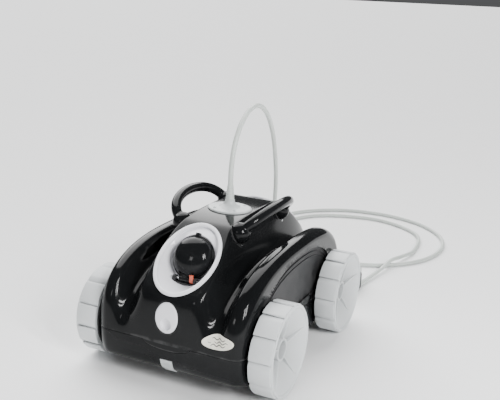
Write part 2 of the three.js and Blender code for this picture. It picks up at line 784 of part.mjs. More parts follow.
function makeBucket() {
  const flange = loft([jetRing(0, seatGap), jetRing(1, jetRimThickness)]);
  const tubeIn = jetRimWidth - bucketWall;
  const body = loft([
    jetRing(tubeIn, seatGap + 1), jetRing(tubeIn, -3), bowlRing(bucketWall, mouthBack),
  ]);
  const inner = loft([
    jetRing(jetRimWidth, jetRimThickness + cutMargin), jetRing(jetRimWidth, -1),
    bowlRing(0, mouthBack + bucketWall),
  ]);
  const throat = loft([
    mouthRing(mouthRadius, mouthBack - cutMargin), mouthRing(mouthRadius, mouthBack + 8),
  ]);
  return flange.add(body).subtract(inner).subtract(throat);
}
const bucket = makeBucket();

function makeHingeBase() {
  const ears = [-hingeEarX, hingeEarX].map((x) => earBlock(x, hingeEarWidth));
  const sill = box(
    [-hingeEarX, hinge.y - hingeDrum, hinge.z - 3 * hingeDrum],
    [hingeEarX, hinge.y + hingeDrum, hinge.z - hingeDrum - seatGap],
  );
  const room = loft([
    jetRing(jetRimWidth + seatGap, jetRimThickness), jetRing(jetRimWidth + seatGap, -1),
    bowlRing(-seatGap, mouthBack + bucketWall + seatGap),
  ]);
  return unite([...ears, sill]).intersect(room).subtract(pinBore());
}

// The clip grips the pin beside the flap's knuckle and turns with the flap.
function clipBlock(grow) {
  const low = clipX - clipWidth / 2 - grow;
  const high = clipX + clipWidth / 2 + grow;
  const drum = rod(
    [low, hinge.y, hinge.z], [high, hinge.y, hinge.z], hingeDrum - 0.1 + grow, undefined, 14,
  );
  const plate = box(
    [low, hinge.y - hingeDrum + 0.1 - grow, hinge.z - 1.5 - grow],
    [high, hinge.y - 1.2 + grow, hinge.z + clipHeight + grow],
  );
  return drum.add(plate);
}

function makeFlap() {
  const disc = loft([mouthRing(flapRadius, seatGap), mouthRing(flapRadius, flapThickness + seatGap)]);
  const rings = [];
  for (let i = 0; i <= 5; i += 1) {
    const angle = (Math.PI / 2) * (i / 5) * domeSweep;
    const radius = (flapRadius - 2.3) * Math.cos(angle);
    rings.push(mouthRing(radius, flapThickness + domeHeight * Math.sin(angle)));
  }
  const knuckleEnd = clipX - clipWidth / 2 - seatGap;
  const drum = rod(
    [-knuckleEnd, hinge.y, hinge.z], [knuckleEnd, hinge.y, hinge.z], hingeDrum - seatGap, undefined, 14,
  );
  const arm = box([-knuckleEnd, -2, -hingeOut + 1], [knuckleEnd, 9, 2.5]);
  const tab = box([-3.5, -4.5, -2], [3.5, 4.5, 5]);
  const tabAt = planePoint(mouthY, mouthZ, mouthSlope, 0, flapRadius - 1, flapThickness);
  const lean = (place) => new THREE.Matrix4().makeRotationX(mouthSlope).setPosition(place).toArray();
  const body = unite([disc, loft(rings), drum, arm.transform(lean(hinge)), tab.transform(lean(tabAt))]);
  const ears = [-hingeEarX, hingeEarX].map((x) => rod(
    [x - hingeEarWidth / 2 - seatGap, hinge.y, hinge.z],
    [x + hingeEarWidth / 2 + seatGap, hinge.y, hinge.z],
    hingeDrum + 2 * seatGap,
  ));
  return without(body, [pinBore(), clipBlock(seatGap), ...ears]);
}

const pin = rod(
  [-hingePinHalf, hinge.y, hinge.z], [hingePinHalf, hinge.y, hinge.z], hingePinRadius, undefined, 12,
);

const jetPieces = [
  ['jet_bucket', bucket, 'white'], ['flap_hinge', makeHingeBase(), 'satin'],
  ['jet_flap', makeFlap(), 'black'], ['flap_pin', pin, 'steel'],
  ['flap_clip', clipBlock(0).subtract(pinBore()), 'red'],
];
jetPieces.forEach(([name, body, look]) => {
  bothEnds(body).forEach((copy, i) => add(`${name}_${ends[i][0]}`, copy, look));
});

// ---- release buttons ------------------------------------------------------
function makeButton() {
  const plug = ovalPrism(
    buttonHalfWidth, buttonHalfHeight, 0, buttonZ, 0, -bodyHalfLength - 8, -bodyHalfLength + 45,
  );
  const skin = coverBlock(buttonProud).subtract(coverBlock(-buttonDepth));
  const dimple = new THREE.SphereGeometry(dimpleRadius, 20, 14);
  dimple.translate(0, -bodyHalfLength - buttonProud - dimpleRadius * 0.4, buttonZ - dimpleDrop);
  return skin.intersect(plug).subtract(solid(dimple));
}
bothEnds(makeButton()).forEach((button, i) => add(`release_button_${ends[i][0]}`, button, 'white'));

// ---- badge ----------------------------------------------------------------
const badgeSkin = coverBlock(badgeThickness).subtract(coverBlock(seatGap));
add('badge', badgeSkin.intersect(ovalPrism(
  badgeHalfWidth, badgeHalfHeight, badgeX, badgeZ, -badgeTilt, -bodyHalfLength - 8, -bodyHalfLength + 15,
)), 'cream');

// ---- gland and strain relief ----------------------------------------------
function makeGland() {
  const ring = (z) => planeRing(glandY, z, 0, glandHalfWidth, glandHalfLength, 0, 36);
  const skin = coverBlock(glandThickness).subtract(coverBlock(seatGap));
  const saddle = skin.intersect(loft([ring(spineZ - 40), ring(spineZ + 20)]));
  const boss = latheSolid([
    [0, spineZ + seatGap + 0.2], [glandBossRadius, spineZ + seatGap + 0.2],
    [glandBossRadius, spineZ + glandThickness], [glandBossRadius * 0.62, spineZ + glandThickness + 3],
    [glandBossTop, glandTopZ], [0, glandTopZ],
  ], 20).translate([0, glandY, 0]);
  return saddle.add(boss);
}
add('gland_plate', makeGland(), 'grey');
const reliefZ = glandTopZ + seatGap;
add('strain_relief', rod(
  [0, glandY, reliefZ], [0, glandY, reliefZ + reliefHeight], reliefRadius, reliefTip,
), 'cable');

// ---- handles --------------------------------------------------------------
function tube(points, radius, facets, steps) {
  const section = new THREE.Shape();
  section.absarc(0, 0, radius, 0, 2 * Math.PI);
  const path = new THREE.CatmullRomCurve3(points.map((p) => new THREE.Vector3(...p)));
  return new THREE.ExtrudeGeometry(section, {
    steps, curveSegments: facets / 2, bevelEnabled: false, extrudePath: path,
  });
}

sides.forEach(([name, side]) => {
  const loop = [];
  for (let i = 0; i <= 8; i += 1) {
    const angle = (Math.PI * i) / 8;
    const rise = handleRise * Math.sin(angle) ** 0.8;
    loop.push([
      side * (handleX + rise * Math.sin(handleTilt)), -handleY * Math.cos(angle),
      handleZ + rise * Math.cos(handleTilt),
    ]);
  }
  const balls = ballPlaces.filter(([x]) => x * side > 0);
  const grip = unite([
    solid(tube(loop, handleRadius, 12, 16)),
    ...balls.map((place) => solid(ballSeat(0).translate(...place))),
  ]);
  const holes = balls.map(([x, y, z]) => rod(
    [x, y, z - handleBall - 5], [x, y, z - handleBall + screwReach + 1], screwRadius + seatGap,
  ));
  add(`handle_${name}`, without(grip, holes), 'black');
  balls.forEach(([x, y, z], i) => {
    const top = z - handleBall - seatGap;
    const screw = rod([x, y, top - screwHeadHeight], [x, y, top], screwHead)
      .add(rod([x, y, top - 1], [x, y, z - handleBall + screwReach], screwRadius));
    add(`handle_screw_${name}_${ends[i][0]}`, screw, 'steel');
  });
});

// ---- wheels ---------------------------------------------------------------
function treadOutline() {
  const shape = new THREE.Shape();
  const pitch = (2 * Math.PI) / treadBlocks;
  for (let i = 0; i < treadBlocks; i += 1) {
    const start = i * pitch;
    const solidPart = pitch * (1 - treadGroove);
    const corners = [0, 1, 2].map((k) => [wheelRadius, start + (solidPart * k) / 2]);
    corners.push([wheelRadius - treadDepth, start + solidPart]);
    corners.forEach(([r, angle], k) => {
      const place = [r * Math.cos(angle), r * Math.sin(angle)];
      if (i + k === 0) shape.moveTo(...place);
      else shape.lineTo(...place);
    });
  }
  shape.closePath();
  return shape;
}

// Built with its axle along Z and its outer face at the top, then turned.
function makeWheel() {
  const tyre = solid(new THREE.ExtrudeGeometry(treadOutline(), {
    depth: wheelWidth, bevelEnabled: false,
  }));
  const rim = wheelRadius - treadDepth - rimBand + 2;
  const face = wheelWidth;
  const dish = latheSolid([
    [0, face - dishDepth], [hubRadius, face - dishDepth], [rim, face - 3], [rim, face + 5], [0, face + 5],
  ], 20);
  const back = latheSolid([
    [hubRadius - wheelShell, -5], [rim - wheelShell, -5], [rim - wheelShell, face - 3 - 2.2 * wheelShell],
    [hubRadius - wheelShell, face - dishDepth - wheelShell], [hubRadius - wheelShell, -5],
  ], 20);
  const hub = rod([0, 0, face - dishDepth - 2], [0, 0, face - hubInset], hubRadius, undefined, 20);
  let wheel = without(tyre, [dish, back]).add(hub);
  for (let i = 0; i < wheelSpokes; i += 1) {
    const turn = (2 * Math.PI * (i + 0.45)) / wheelSpokes;
    const fin = new THREE.Shape();
    fin.moveTo(hubRadius - 2, face - dishDepth - 1);
    fin.lineTo(rim + 1, face - 5);
    fin.lineTo(rim + 1, face - 3);
    fin.lineTo(hubRadius - 2, face - hubInset);
    const blade = new THREE.ExtrudeGeometry(fin, { depth: spokeWidth, bevelEnabled: false });
    blade.translate(0, 0, -spokeWidth / 2).rotateX(Math.PI / 2).rotateZ(turn);
    wheel = wheel.add(solid(blade));
  }
  const recess = rod(
    [0, 0, face - hubInset - hubBoreDepth], [0, 0, face + 5], hubBoreRadius, undefined, 32,
  );
  const collar = rod([0, 0, 0], [0, 0, face - hubInset - hubBoreDepth], axleRadius + 4, undefined, 24);
  return without(wheel.subtract(recess).add(collar), [
    rod([0, 0, -5], [0, 0, face], axleRadius + runGap, undefined, 24),
  ]);
}

const wheel = makeWheel();
const capFloor = wheelFace - hubInset - hubBoreDepth;
ends.forEach(([endName, end]) => sides.forEach(([sideName, side]) => {
  const corner = `${endName}_${sideName}`;
  const at = (x) => [side * x, end * axleY, wheelRadius];
  const turn = new THREE.Matrix4().makeRotationY((side * Math.PI) / 2);
  turn.setPosition(...at(wheelBack));
  add(`wheel_${corner}`, wheel.transform(turn.toArray()), 'wheel');
  const discBack = wheelBack - seatGap;
  const disc = rod(at(discBack - discThickness), at(discBack), discRadius, undefined, 24);
  const discBore = rod(at(bodyHalfWidth), at(wheelFace), axleRadius + runGap);
  add(`wheel_disc_${corner}`, disc.subtract(discBore), 'satin');
  const inner = bodyHalfWidth - axleBossLength + 4 + seatGap;
  add(`axle_${corner}`, rod(at(inner), at(capFloor + 4), axleRadius), 'steel');
  const cap = rod(at(capFloor + 4 + seatGap), at(capFloor + 4 + capThickness), capRadius);
  add(`axle_cap_${corner}`, cap, 'wheel');
}));

// ---- cable ----------------------------------------------------------------
add('cable', solid(tube(cableRoute, cableDiameter / 2, 8, 80)), 'cable');

const coilInner = coilMeanRadius - coilSection / 2;
const coilOuter = coilMeanRadius + coilSection / 2;
const coilY = bodyHalfLength + coilGap + coilOuter;
const coilCorner = 5; // the ring's edges are cut off by this much
const coilTopZ = coilLift + coilSection;
add('cable_coil', latheSolid([
  [coilInner, coilLift + coilCorner], [coilInner + coilCorner, coilLift],
  [coilOuter - coilCorner, coilLift], [coilOuter, coilLift + coilCorner],
  [coilOuter, coilTopZ - coilCorner], [coilOuter - coilCorner, coilTopZ],
  [coilInner + coilCorner, coilTopZ], [coilInner, coilTopZ - coilCorner],
  [coilInner, coilLift + coilCorner],
], 22).translate([coilX, coilY, 0]), 'cable');

sides.forEach(([name, side]) => {
  const near = side * (coilInner - tieGap - tieWall);
  const far = side * (coilOuter + tieGap + tieWall);
  const topZ = coilTopZ + tieGap + tieWall;
  const band = (inset, wide) => box(
    [coilX + Math.min(near, far) + inset, coilY - wide, inset],
    [coilX + Math.max(near, far) - inset, coilY + wide, topZ - inset],
  );
  add(`coil_tie_${name}`, band(0, tieWidth / 2).subtract(band(tieWall, tieWidth)), 'satin');
});

// The connector lies inside the coil, and the cable's tail bends round into its
// nose from the innermost turn.
const innerTurn = coilInner + cableDiameter / 2;
const tailBend = (innerTurn ** 2 - plugX ** 2 - plugY ** 2) / (2 * (innerTurn - plugX));
const tailX = coilX - plugX + tailBend; // middle of the bend
const tailY = coilY - plugY;
const tailLowZ = coilLift + cableDiameter / 2;
const tailClear = coilInner - cableDiameter / 2 - 2 * seatGap;
const fromAxis = Math.hypot(tailX - coilX, plugY);
const leave = Math.atan2(-plugY, tailX - coilX);
const swing = Math.acos((tailClear ** 2 - fromAxis ** 2 - tailBend ** 2) / (2 * fromAxis * tailBend));
const sweep = Math.PI + leave; // from the innermost turn to the nose
const tail = [];
for (let i = 0; i <= 5; i += 1) {
  const turned = swing + ((sweep - swing) * i) / 5;
  tail.push([
    tailX + tailBend * Math.cos(leave - turned), tailY + tailBend * Math.sin(leave - turned),
    tailLowZ + (connectorRadius - tailLowZ) * (turned / sweep),
  ]);
}
tail[5][1] -= 3 * seatGap;
add('cable_tail', solid(tube(tail, cableDiameter / 2, 8, 6)), 'cable');

const plugPoint = (along) => [coilX - plugX, tailY + along, connectorRadius];
const plugBody = rod(
  plugPoint(plugNeck - 1), plugPoint(connectorLength), connectorRadius, undefined, 20,
);
const plugNose = rod(
  plugPoint(0), plugPoint(plugNeck), plugNoseRadius, connectorRadius - 1, 20,
);
add('cable_connector', plugBody.add(plugNose), 'satin');

export default cleaner;
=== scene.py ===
"""Pool cleaner: its finished surfaces and materials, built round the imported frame.

Sizes are in millimetres until a mesh is made, and Blender's own units are metres.
The front faces -Y and +Z is up.
"""
import json
import math

import bmesh
import bpy
import numpy as np
from mathutils import Matrix, Vector


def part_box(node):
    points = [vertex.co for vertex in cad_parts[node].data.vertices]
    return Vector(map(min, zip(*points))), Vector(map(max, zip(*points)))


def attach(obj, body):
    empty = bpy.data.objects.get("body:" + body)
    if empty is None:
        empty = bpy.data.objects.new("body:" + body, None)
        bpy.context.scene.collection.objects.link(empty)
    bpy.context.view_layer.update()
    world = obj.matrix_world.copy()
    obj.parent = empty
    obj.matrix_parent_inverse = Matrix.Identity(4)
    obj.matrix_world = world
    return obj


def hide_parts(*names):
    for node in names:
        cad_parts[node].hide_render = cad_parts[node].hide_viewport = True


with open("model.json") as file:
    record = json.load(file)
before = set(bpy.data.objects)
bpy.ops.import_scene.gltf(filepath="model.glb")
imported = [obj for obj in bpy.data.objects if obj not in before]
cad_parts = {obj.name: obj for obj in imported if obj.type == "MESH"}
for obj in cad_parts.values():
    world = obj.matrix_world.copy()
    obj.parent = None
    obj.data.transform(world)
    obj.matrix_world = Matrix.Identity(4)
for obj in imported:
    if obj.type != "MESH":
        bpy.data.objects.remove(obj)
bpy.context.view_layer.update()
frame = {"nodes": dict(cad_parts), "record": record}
scene = bpy.context.scene
MM = 0.001


def box_mm(node):
    """Lowest and highest corner of a CAD node, in millimetres."""
    low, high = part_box(node)
    return np.array(low) / MM, np.array(high) / MM


def linked(name, data):
    """A new object in the scene."""
    made = bpy.data.objects.new(name, data)
    scene.collection.objects.link(made)
    return made


def around(count):
    """Equal angles round a full turn."""
    return np.linspace(0, 2 * math.pi, count, endpoint=False)


# ---- sizes: body ------------------------------------------------------------
HALF_WIDTH, HALF_LENGTH, SPINE_Z = box_mm("upper_cover")[1]
SKIRT_Z = box_mm("tub")[0][2]
SEAM_Z = 76.0
SEAM_GAP = 0.7
FIT_GAP = 0.3
CORNER = 22.0
VALLEY_Z = 173.0
FENDER_Z = 197.5
SPINE_FLAT, SPINE_FOOT = 40.0, 76.0
FENDER_FOOT, FENDER_CREST = 82.0, 104.0
FENDER_ROUND = 110.0
FENDER_DROP = 15.5
FENDER_STEPS = ((84.0, 87.0), (92.0, 95.0))
STEP_RISE = 1.6
WALL = 3.0
HUMP_POWER, VALLEY_POWER = 2.8, 2.0
SKIRT_TUCK, SKIRT_POWER = 20.0, 2.6
TONGUE_HALF_WIDTH, TONGUE_DROP = 40.0, 11.0
ARCH_BASE_Z, ARCH_HALF_LENGTH, ARCH_HEIGHT, ARCH_POWER = 90.0, 150.0, 86.0, 2.3

# ---- sizes: wheels ----------------------------------------------------------
wheel_low, wheel_high = box_mm("wheel_front_right")
WHEEL_RADIUS = (wheel_high[2] - wheel_low[2]) / 2
WHEEL_WIDTH = wheel_high[0] - wheel_low[0]
WHEEL_BACK = wheel_low[0]
AXLE_Y = (wheel_high[1] + wheel_low[1]) / 2
TREAD_BLOCKS, TREAD_DEPTH, TREAD_GROOVE = 12, 4.0, 0.22
DISH_DEPTH, HUB_RADIUS, HUB_INSET = 22.0, 18.0, 14.0
HUB_BORE, HUB_BORE_DEPTH = 14.0, 18.0
WHEEL_RIBS, RIB_WIDTH = 5, 2.6
AXLE_RADIUS, AXLE_BORE, AXLE_BOSS = 6.25, 6.3, 11.0

# ---- sizes: jets ------------------------------------------------------------
JET_Y, JET_Z, JET_SLOPE = -149.5, 190.8, math.radians(36.8)
JET_HALF_WIDTH, JET_HALF_LENGTH = 50.5, 68.5
RIM_WIDTH, RIM_THICKNESS = 6.5, 3.5
BUCKET_WALL = 3.0
MOUTH_Y, MOUTH_Z, MOUTH_SLOPE = -131.0, 187.0, math.radians(62)
MOUTH_RADIUS, BOWL_ROOM, BOWL_SAG = 32.5, 4.4, 1.8
FLAP_RADIUS, FLAP_THICKNESS, DOME_HEIGHT = 35.3, 3.0, 22.0
HINGE_DROP, HINGE_OUT, HINGE_DRUM = 35.5, 10.5, 4.5
CLIP_X, CLIP_WIDTH, CLIP_HEIGHT = 12.2, 5.5, 9.5

# ---- sizes: buttons, badge, gland, handles ----------------------------------
BUTTON_Z, BUTTON_HALF = 117.0, (19.0, 23.5)
BUTTON_PROUD, DIMPLE_RADIUS, DIMPLE_DROP, DIMPLE_DEPTH = 1.9, 9.5, 9.5, 6.5
BADGE_AT, BADGE_HALF, BADGE_TILT = (86.0, 98.0), (26.0, 10.2), math.radians(8)
GLAND_Y, GLAND_HALF, GLAND_THICKNESS = -14.0, (38.0, 31.0), 3.4
GLAND_BOSS, GLAND_TOP_RADIUS, GLAND_TOP_Z = 20.0, 8.0, 254.0
HANDLE_X, HANDLE_Y, HANDLE_Z, HANDLE_RISE = 51.5, 78.0, 222.0, 47.0
HANDLE_TILT = math.radians(45)
HANDLE_RADIUS, HANDLE_BALL = 8.5, 17.0

# ---- sizes: cable -----------------------------------------------------------
CABLE = 8.5
coil_low, coil_high = box_mm("cable_coil")
COIL_X, COIL_Y = (coil_low[:2] + coil_high[:2]) / 2
COIL_LAYERS = 4
PLUG_X, PLUG_Y, PLUG_Z = 30.0, 23.0, 10.5
COIL_POINTS = 14  # points for each turn
RELIEF_FOOT, RELIEF_TIP, RELIEF_RIPPLES, RIPPLE_DEPTH = 7.4, 5.1, 5, 0.45
PLUG_NECK, GRIP_LOW, GRIP_HIGH = 5.2, 38.0, 52.0
TIE_THICKNESS, TIE_HALF_WIDTH = 1.4, 4.3
ON_FLOOR = 4.6
CABLE_ROUTE = [
    (0, -14, 278.8), (0, -13, 306), (0, -4, 342), (-1, 20, 374), (-4, 62, 394.6),
    (-9, 112, 392), (-15, 160, 368), (-22, 203, 326), (-31, 242, 270),
    (-42, 276, 206), (-70, 334, 80), (-88, 364, 34), (-110, 398, 10),
    *((x, y, ON_FLOOR) for x, y in (
        (-136, 438), (-180, 518), (-211.6, 618), (-207, 726), (-160, 812), (-75, 873),
        (30, 888.3), (130, 855), (203, 778), (228.7, 678), (206, 572), (142, 496),
        (50, 458), (-50, 461), (-138, 500), (-190, 590), (-180, 690), (-120, 786),
        (6, 832), (94, 806), (156, 744),
    )),
    (174, 624, 5), (162, 560, 9), (151, 505, 14.5), (144, 455, 9), (137, 410, 7),
    (131.5, 369, 6.8),
]

ENDS = (("front", 1), ("rear", -1))
SIDES = (("left", -1), ("right", 1))


# ---- node trees -------------------------------------------------------------
class Wire:
    """A value in a node tree. Sums and products of wires add their Math nodes."""

    def __init__(self, tree, socket):
        self.tree = tree
        self.socket = socket

    def __abs__(self):
        return self.tree.maths("ABSOLUTE", self)

    def axis(self, name):
        return self.tree.node("ShaderNodeSeparateXYZ", (self,), name)


def add_operator(name, operation):
    """Gives Wire an operator, with the wire on either side of it."""
    setattr(Wire, f"__{name}__", lambda left, right: left.tree.maths(operation, left, right))
    setattr(Wire, f"__r{name}__", lambda right, left: right.tree.maths(operation, left, right))


for operator_name, math_node in (
    ("add", "ADD"), ("sub", "SUBTRACT"), ("mul", "MULTIPLY"), ("truediv", "DIVIDE"), ("pow", "POWER"),
):
    add_operator(operator_name, math_node)


class Tree:
    """A node tree, with the one method that adds nodes to it."""

    def __init__(self, group):
        self.group = group

    def node(self, kind, values=(), out=None, **settings):
        """Adds a node with these input values, and gives the output named out."""
        made = self.group.nodes.new(kind)
        for name, value in settings.items():
            setattr(made, name, value)
        named = values.items() if isinstance(values, dict) else enumerate(values)
        for key, value in named:
            socket = self.find(made.inputs, key)
            if isinstance(value, Wire):
                self.group.links.new(value.socket, socket)
            else:
                socket.default_value = value
        shown = [s for s in made.outputs if s.enabled]
        if not shown:
            return None
        return Wire(self, shown[0] if out is None else self.find(shown, out))

    @staticmethod
    def find(sockets, key):
        if isinstance(key, int):
            return sockets[key]
        return next(s for s in sockets if s.name == key and s.enabled)

    def maths(self, operation, *values):
        return self.node("ShaderNodeMath", values, operation=operation)


def either(operation, plain):
    """A function that adds a Math node for a wire, and is numpy's own for numbers."""
    def work(first, *others):
        if isinstance(first, Wire):
            return first.tree.maths(operation, first, *others)
        return plain(first, *others)
    return work


sine, cosine, sign = either("SINE", np.sin), either("COSINE", np.cos), either("SIGN", np.sign)
most, least = either("MAXIMUM", np.maximum), either("MINIMUM", np.minimum)


def limit(value, low, high):
    return least(most(value, low), high)


def ease(value, low, high):
    """0 before low and 1 past high, with a smooth run between them."""
    share = limit((value - low) / (high - low), 0, 1)
    return share * share * (3 - 2 * share)


# ---- camera -----------------------------------------------------------------
CAMERA_AT = Vector((539.84, -1102.4, 590.22)) * MM
CAMERA_TURN, CAMERA_TILT, CAMERA_ROLL = (math.radians(a) for a in (24.82, 15.48, 2.5))
CAMERA_LENS = 55.0


def place_camera():
    flat = math.cos(CAMERA_TILT)
    back = Vector((math.sin(CAMERA_TURN) * flat, -math.cos(CAMERA_TURN) * flat, math.sin(CAMERA_TILT)))
    side = Vector((math.cos(CAMERA_TURN), math.sin(CAMERA_TURN), 0))
    up = back.cross(side)
    across = side * math.cos(CAMERA_ROLL) + up * math.sin(CAMERA_ROLL)
    upward = up * math.cos(CAMERA_ROLL) - side * math.sin(CAMERA_ROLL)
    camera = linked("camera", bpy.data.cameras.new("camera"))
    camera.data.lens = CAMERA_LENS
    camera.matrix_world = Matrix.Translation(CAMERA_AT) @ Matrix(
        (across, upward, back)).transposed().to_4x4()
    scene.camera = camera


place_camera()


# ---- materials --------------------------------------------------------------
SLOTS = {m["slot"]: m for m in frame["record"]["materials"]}


def fresh_tree(owner):
    """The node tree of a material or world, emptied."""
    owner.use_nodes = True
    owner.node_tree.nodes.clear()
    return Tree(owner.node_tree)


def noise(tree, at, scale, detail=3.0, rough=0.5, stretch=None, turn=(0, 0, 0)):
    """Noise from 0 to 1, with its pattern stretched and turned first."""
    if stretch:
        at = tree.node("ShaderNodeMapping", {
            "Vector": at, "Scale": stretch, "Rotation": turn,
        })
    return tree.node("ShaderNodeTexNoise", {
        "Vector": at, "Scale": scale, "Detail": detail, "Roughness": rough,
    })


def blend_colour(tree, share, first, second):
    return tree.node(
        "ShaderNodeMix", {"Factor": share, "A": first, "B": second}, data_type="RGBA")


def hairlines(tree, at, scale, stretch, turn, width):
    """Thin scratches: the contour lines of a stretched noise, in patches."""
    field = noise(tree, at, scale, 2.0, 0.5, stretch, turn)
    patch = ease(noise(tree, at, scale * 0.6, 2.0), 0.5, 0.68)
    return limit(1 - abs(field - 0.5) / width, 0, 1) * patch


def moulded(slot, roughness, tint, grain, grain_depth, scratch, wear, wave,
            shine=0.5, metallic=0.0, hollow_shade=0.1, tone=1.0, recess_shade=None, name=None):
    """A moulded or drawn finish in the slot's colour.

    Its colour and gloss drift a little, its surface has a fine grain and a slight
    wave, hairline scratches cross it, and its proud edges are worn. Painted shade
    darkens its hollows, and its recesses where a shade function is given.
    """
    material = bpy.data.materials.new(name or slot)
    tree = fresh_tree(material)
    base = [c * tone for c in SLOTS[slot]["base_color"]]
    lightness = sum(base) / 3
    at = tree.node("ShaderNodeTexCoord", out="Object")
    cloud = noise(tree, at, 9.0, 4.0)
    speck = noise(tree, at, grain, 2.0, 0.6)
    lines = most(
        hairlines(tree, at, 14.0, (1.0, 7.0, 3.0), (0.3, 0.2, 0.5), 0.012),
        hairlines(tree, at, 19.0, (6.0, 1.0, 2.0), (0.1, 0.7, 1.1), 0.010),
    )
    sharp = tree.node("ShaderNodeNewGeometry", out="Pointiness")
    edge = limit((sharp - 0.52) * 9, 0, 1) * ease(noise(tree, at, 60.0, 3.0), 0.35, 0.65)
    hollow = limit((0.485 - sharp) * 10, 0, 1)
    deep = tuple(c * (1 - tint) for c in base)
    pale = tuple(c * (1 + tint) + 0.004 * tint for c in base)
    worn = tuple(min(1.0, c + (0.06 if lightness < 0.2 else 0.10)) for c in base)
    body = blend_colour(tree, ease(cloud, 0.3, 0.7), (*deep, 1), (*pale, 1))
    body = blend_colour(tree, edge * wear, body, (*worn, 1))
    body = blend_colour(tree, lines * (scratch * 0.25), body, (*worn, 1))
    # Painted shade: hollows, found by pointiness, darken towards 0.3 of the base colour.
    body = blend_colour(tree, hollow * hollow_shade, body, (*(c * 0.3 for c in base), 1))
    # Painted shade: where a recess mask is given, the colour darkens towards 0.35 of the base.
    if recess_shade:
        body = blend_colour(tree, recess_shade(tree, at), body, (*(c * 0.35 for c in base), 1))
    gloss = limit(
        roughness * (0.8 + 0.4 * cloud) + lines * (scratch * 0.35) + edge * (wear * 0.3)
        + (speck - 0.5) * (0.10 * roughness), 0.03, 1.0)
    height = speck * grain_depth + noise(tree, at, 28.0, 2.0) * wave - lines * (scratch * 0.04)
    bump = tree.node("ShaderNodeBump", {"Strength": 0.5, "Distance": 0.001, "Height": height})
    shader = tree.node("ShaderNodeBsdfPrincipled", {
        "Base Color": body, "Roughness": gloss, "Normal": bump,
        "Metallic": metallic, "Specular IOR Level": shine, "IOR": 1.5,
    })
    tree.node("ShaderNodeOutputMaterial", {"Surface": shader})
    return material


def dish_painted_shade(tree, at):
    """Painted shade in a wheel's dish, darker towards the hub."""
    along, height, out = at.axis("Y"), at.axis("Z"), abs(at.axis("X"))
    from_axle = ((abs(along) + AXLE_Y * MM) ** 2 + (height - WHEEL_RADIUS * MM) ** 2) ** 0.5
    inside = 1 - ease(from_axle, (WHEEL_RADIUS - 9.5) * MM, (WHEEL_RADIUS - 7) * MM)
    face = (WHEEL_BACK + WHEEL_WIDTH) * MM
    depth = limit((face - 2 * MM - out) / (DISH_DEPTH * MM), 0, 1)
    return inside * depth * (0.5 + 0.2 * noise(tree, at, 40.0))


# Each slot's roughness, tint, grain, grain depth, scratches, wear and wave, then the rest.
FINISH = {slot: moulded(slot, *values, **more) for slot, values, more in (
    ("gloss_black", (0.10, 0.25, 1500.0, 0.004, 0.35, 0.55, 0.10), {"shine": 0.14, "tone": 0.5}),
    ("satin_black", (0.42, 0.18, 1100.0, 0.10, 0.3, 0.6, 0.05), {"shine": 0.22, "tone": 0.5}),
    # The wheels carry painted shade: darkened hollows and a darkened dish.
    ("wheel_grey", (0.44, 0.035, 1300.0, 0.06, 0.25, 0.4, 0.06),
     {"hollow_shade": 0.45, "tone": 0.78, "recess_shade": dish_painted_shade}),
    ("gloss_white", (0.20, 0.02, 1500.0, 0.008, 0.2, 0.3, 0.08), {"hollow_shade": 0.3}),
    ("light_grey", (0.36, 0.04, 1300.0, 0.05, 0.25, 0.4, 0.06), {"hollow_shade": 0.35, "tone": 0.85}),
    ("cable_sheath", (0.40, 0.03, 1000.0, 0.04, 0.15, 0.1, 0.05), {"tone": 0.8}),
    ("badge_cream", (0.30, 0.03, 1500.0, 0.02, 0.2, 0.4, 0.05), {}),
    ("clip_red", (0.35, 0.06, 1300.0, 0.05, 0.2, 0.3, 0.05), {}),
    ("steel", (0.22, 0.06, 1800.0, 0.03, 0.5, 0.3, 0.02), {"metallic": 1.0}),
)}
badge_ink = moulded("gloss_black", 0.30, 0.15, 1500.0, 0.01, 0.2, 0.4, 0.05, name="badge_ink")


# ---- solids: (points, faces) in millimetres ---------------------------------
def loft(rings, loop=False):
    """A closed solid through rings of points. With loop, the last joins the first."""
    count = len(rings[0])
    points = np.concatenate([np.asarray(ring, float) for ring in rings])
    faces = []
    for k in range(len(rings) if loop else len(rings) - 1):
        first = k * count
        second = ((k + 1) % len(rings)) * count
        for i in range(count):
            j = (i + 1) % count
            faces.append((first + i, first + j, second + j, second + i))
    if not loop:
        faces.append(tuple(range(count))[::-1])
        faces.append(tuple(range(len(points) - count, len(points))))
    return points, faces


def together(*solids):
    points, faces = [], []
    start = 0
    for own_points, own_faces in solids:
        points.append(own_points)
        faces += [tuple(i + start for i in face) for face in own_faces]
        start += len(own_points)
    return np.concatenate(points), faces


def moved(solid, matrix):
    points, faces = solid
    matrix = np.array(matrix)
    return points @ matrix[:3, :3].T + matrix[:3, 3], faces


def at_end(solid, facing):
    """The front's solid for facing 1, or its mirror image at the rear for -1."""
    points, faces = solid
    return points * (1, facing, 1), faces


def rounded(profile, radius, steps=3, closed=False):
    """The profile with its corners turned into arcs, smaller where a side is short."""
    profile = [np.array(p, float) for p in profile]
    count = len(profile)
    result = []
    for i, corner in enumerate(profile):
        if not closed and i in (0, count - 1):
            result.append(corner)
            continue
        before, after = profile[i - 1] - corner, profile[(i + 1) % count] - corner
        long_before, long_after = np.linalg.norm(before), np.linalg.norm(after)
        size = min(radius, 0.45 * long_before, 0.45 * long_after)
        start = corner + before / long_before * size
        end = corner + after / long_after * size
        for k in range(steps + 1):
            t = k / steps
            result.append(start * (1 - t) ** 2 + 2 * corner * t * (1 - t) + end * t ** 2)
    return result


def turned(profile, sides=96, closed=False):
    """A profile of (radius, height) points turned round Z."""
    angles = around(sides)
    rings = [
        np.stack([r * np.cos(angles), r * np.sin(angles), np.full(sides, float(z))], 1)
        for r, z in profile
    ]
    return loft(rings, closed)


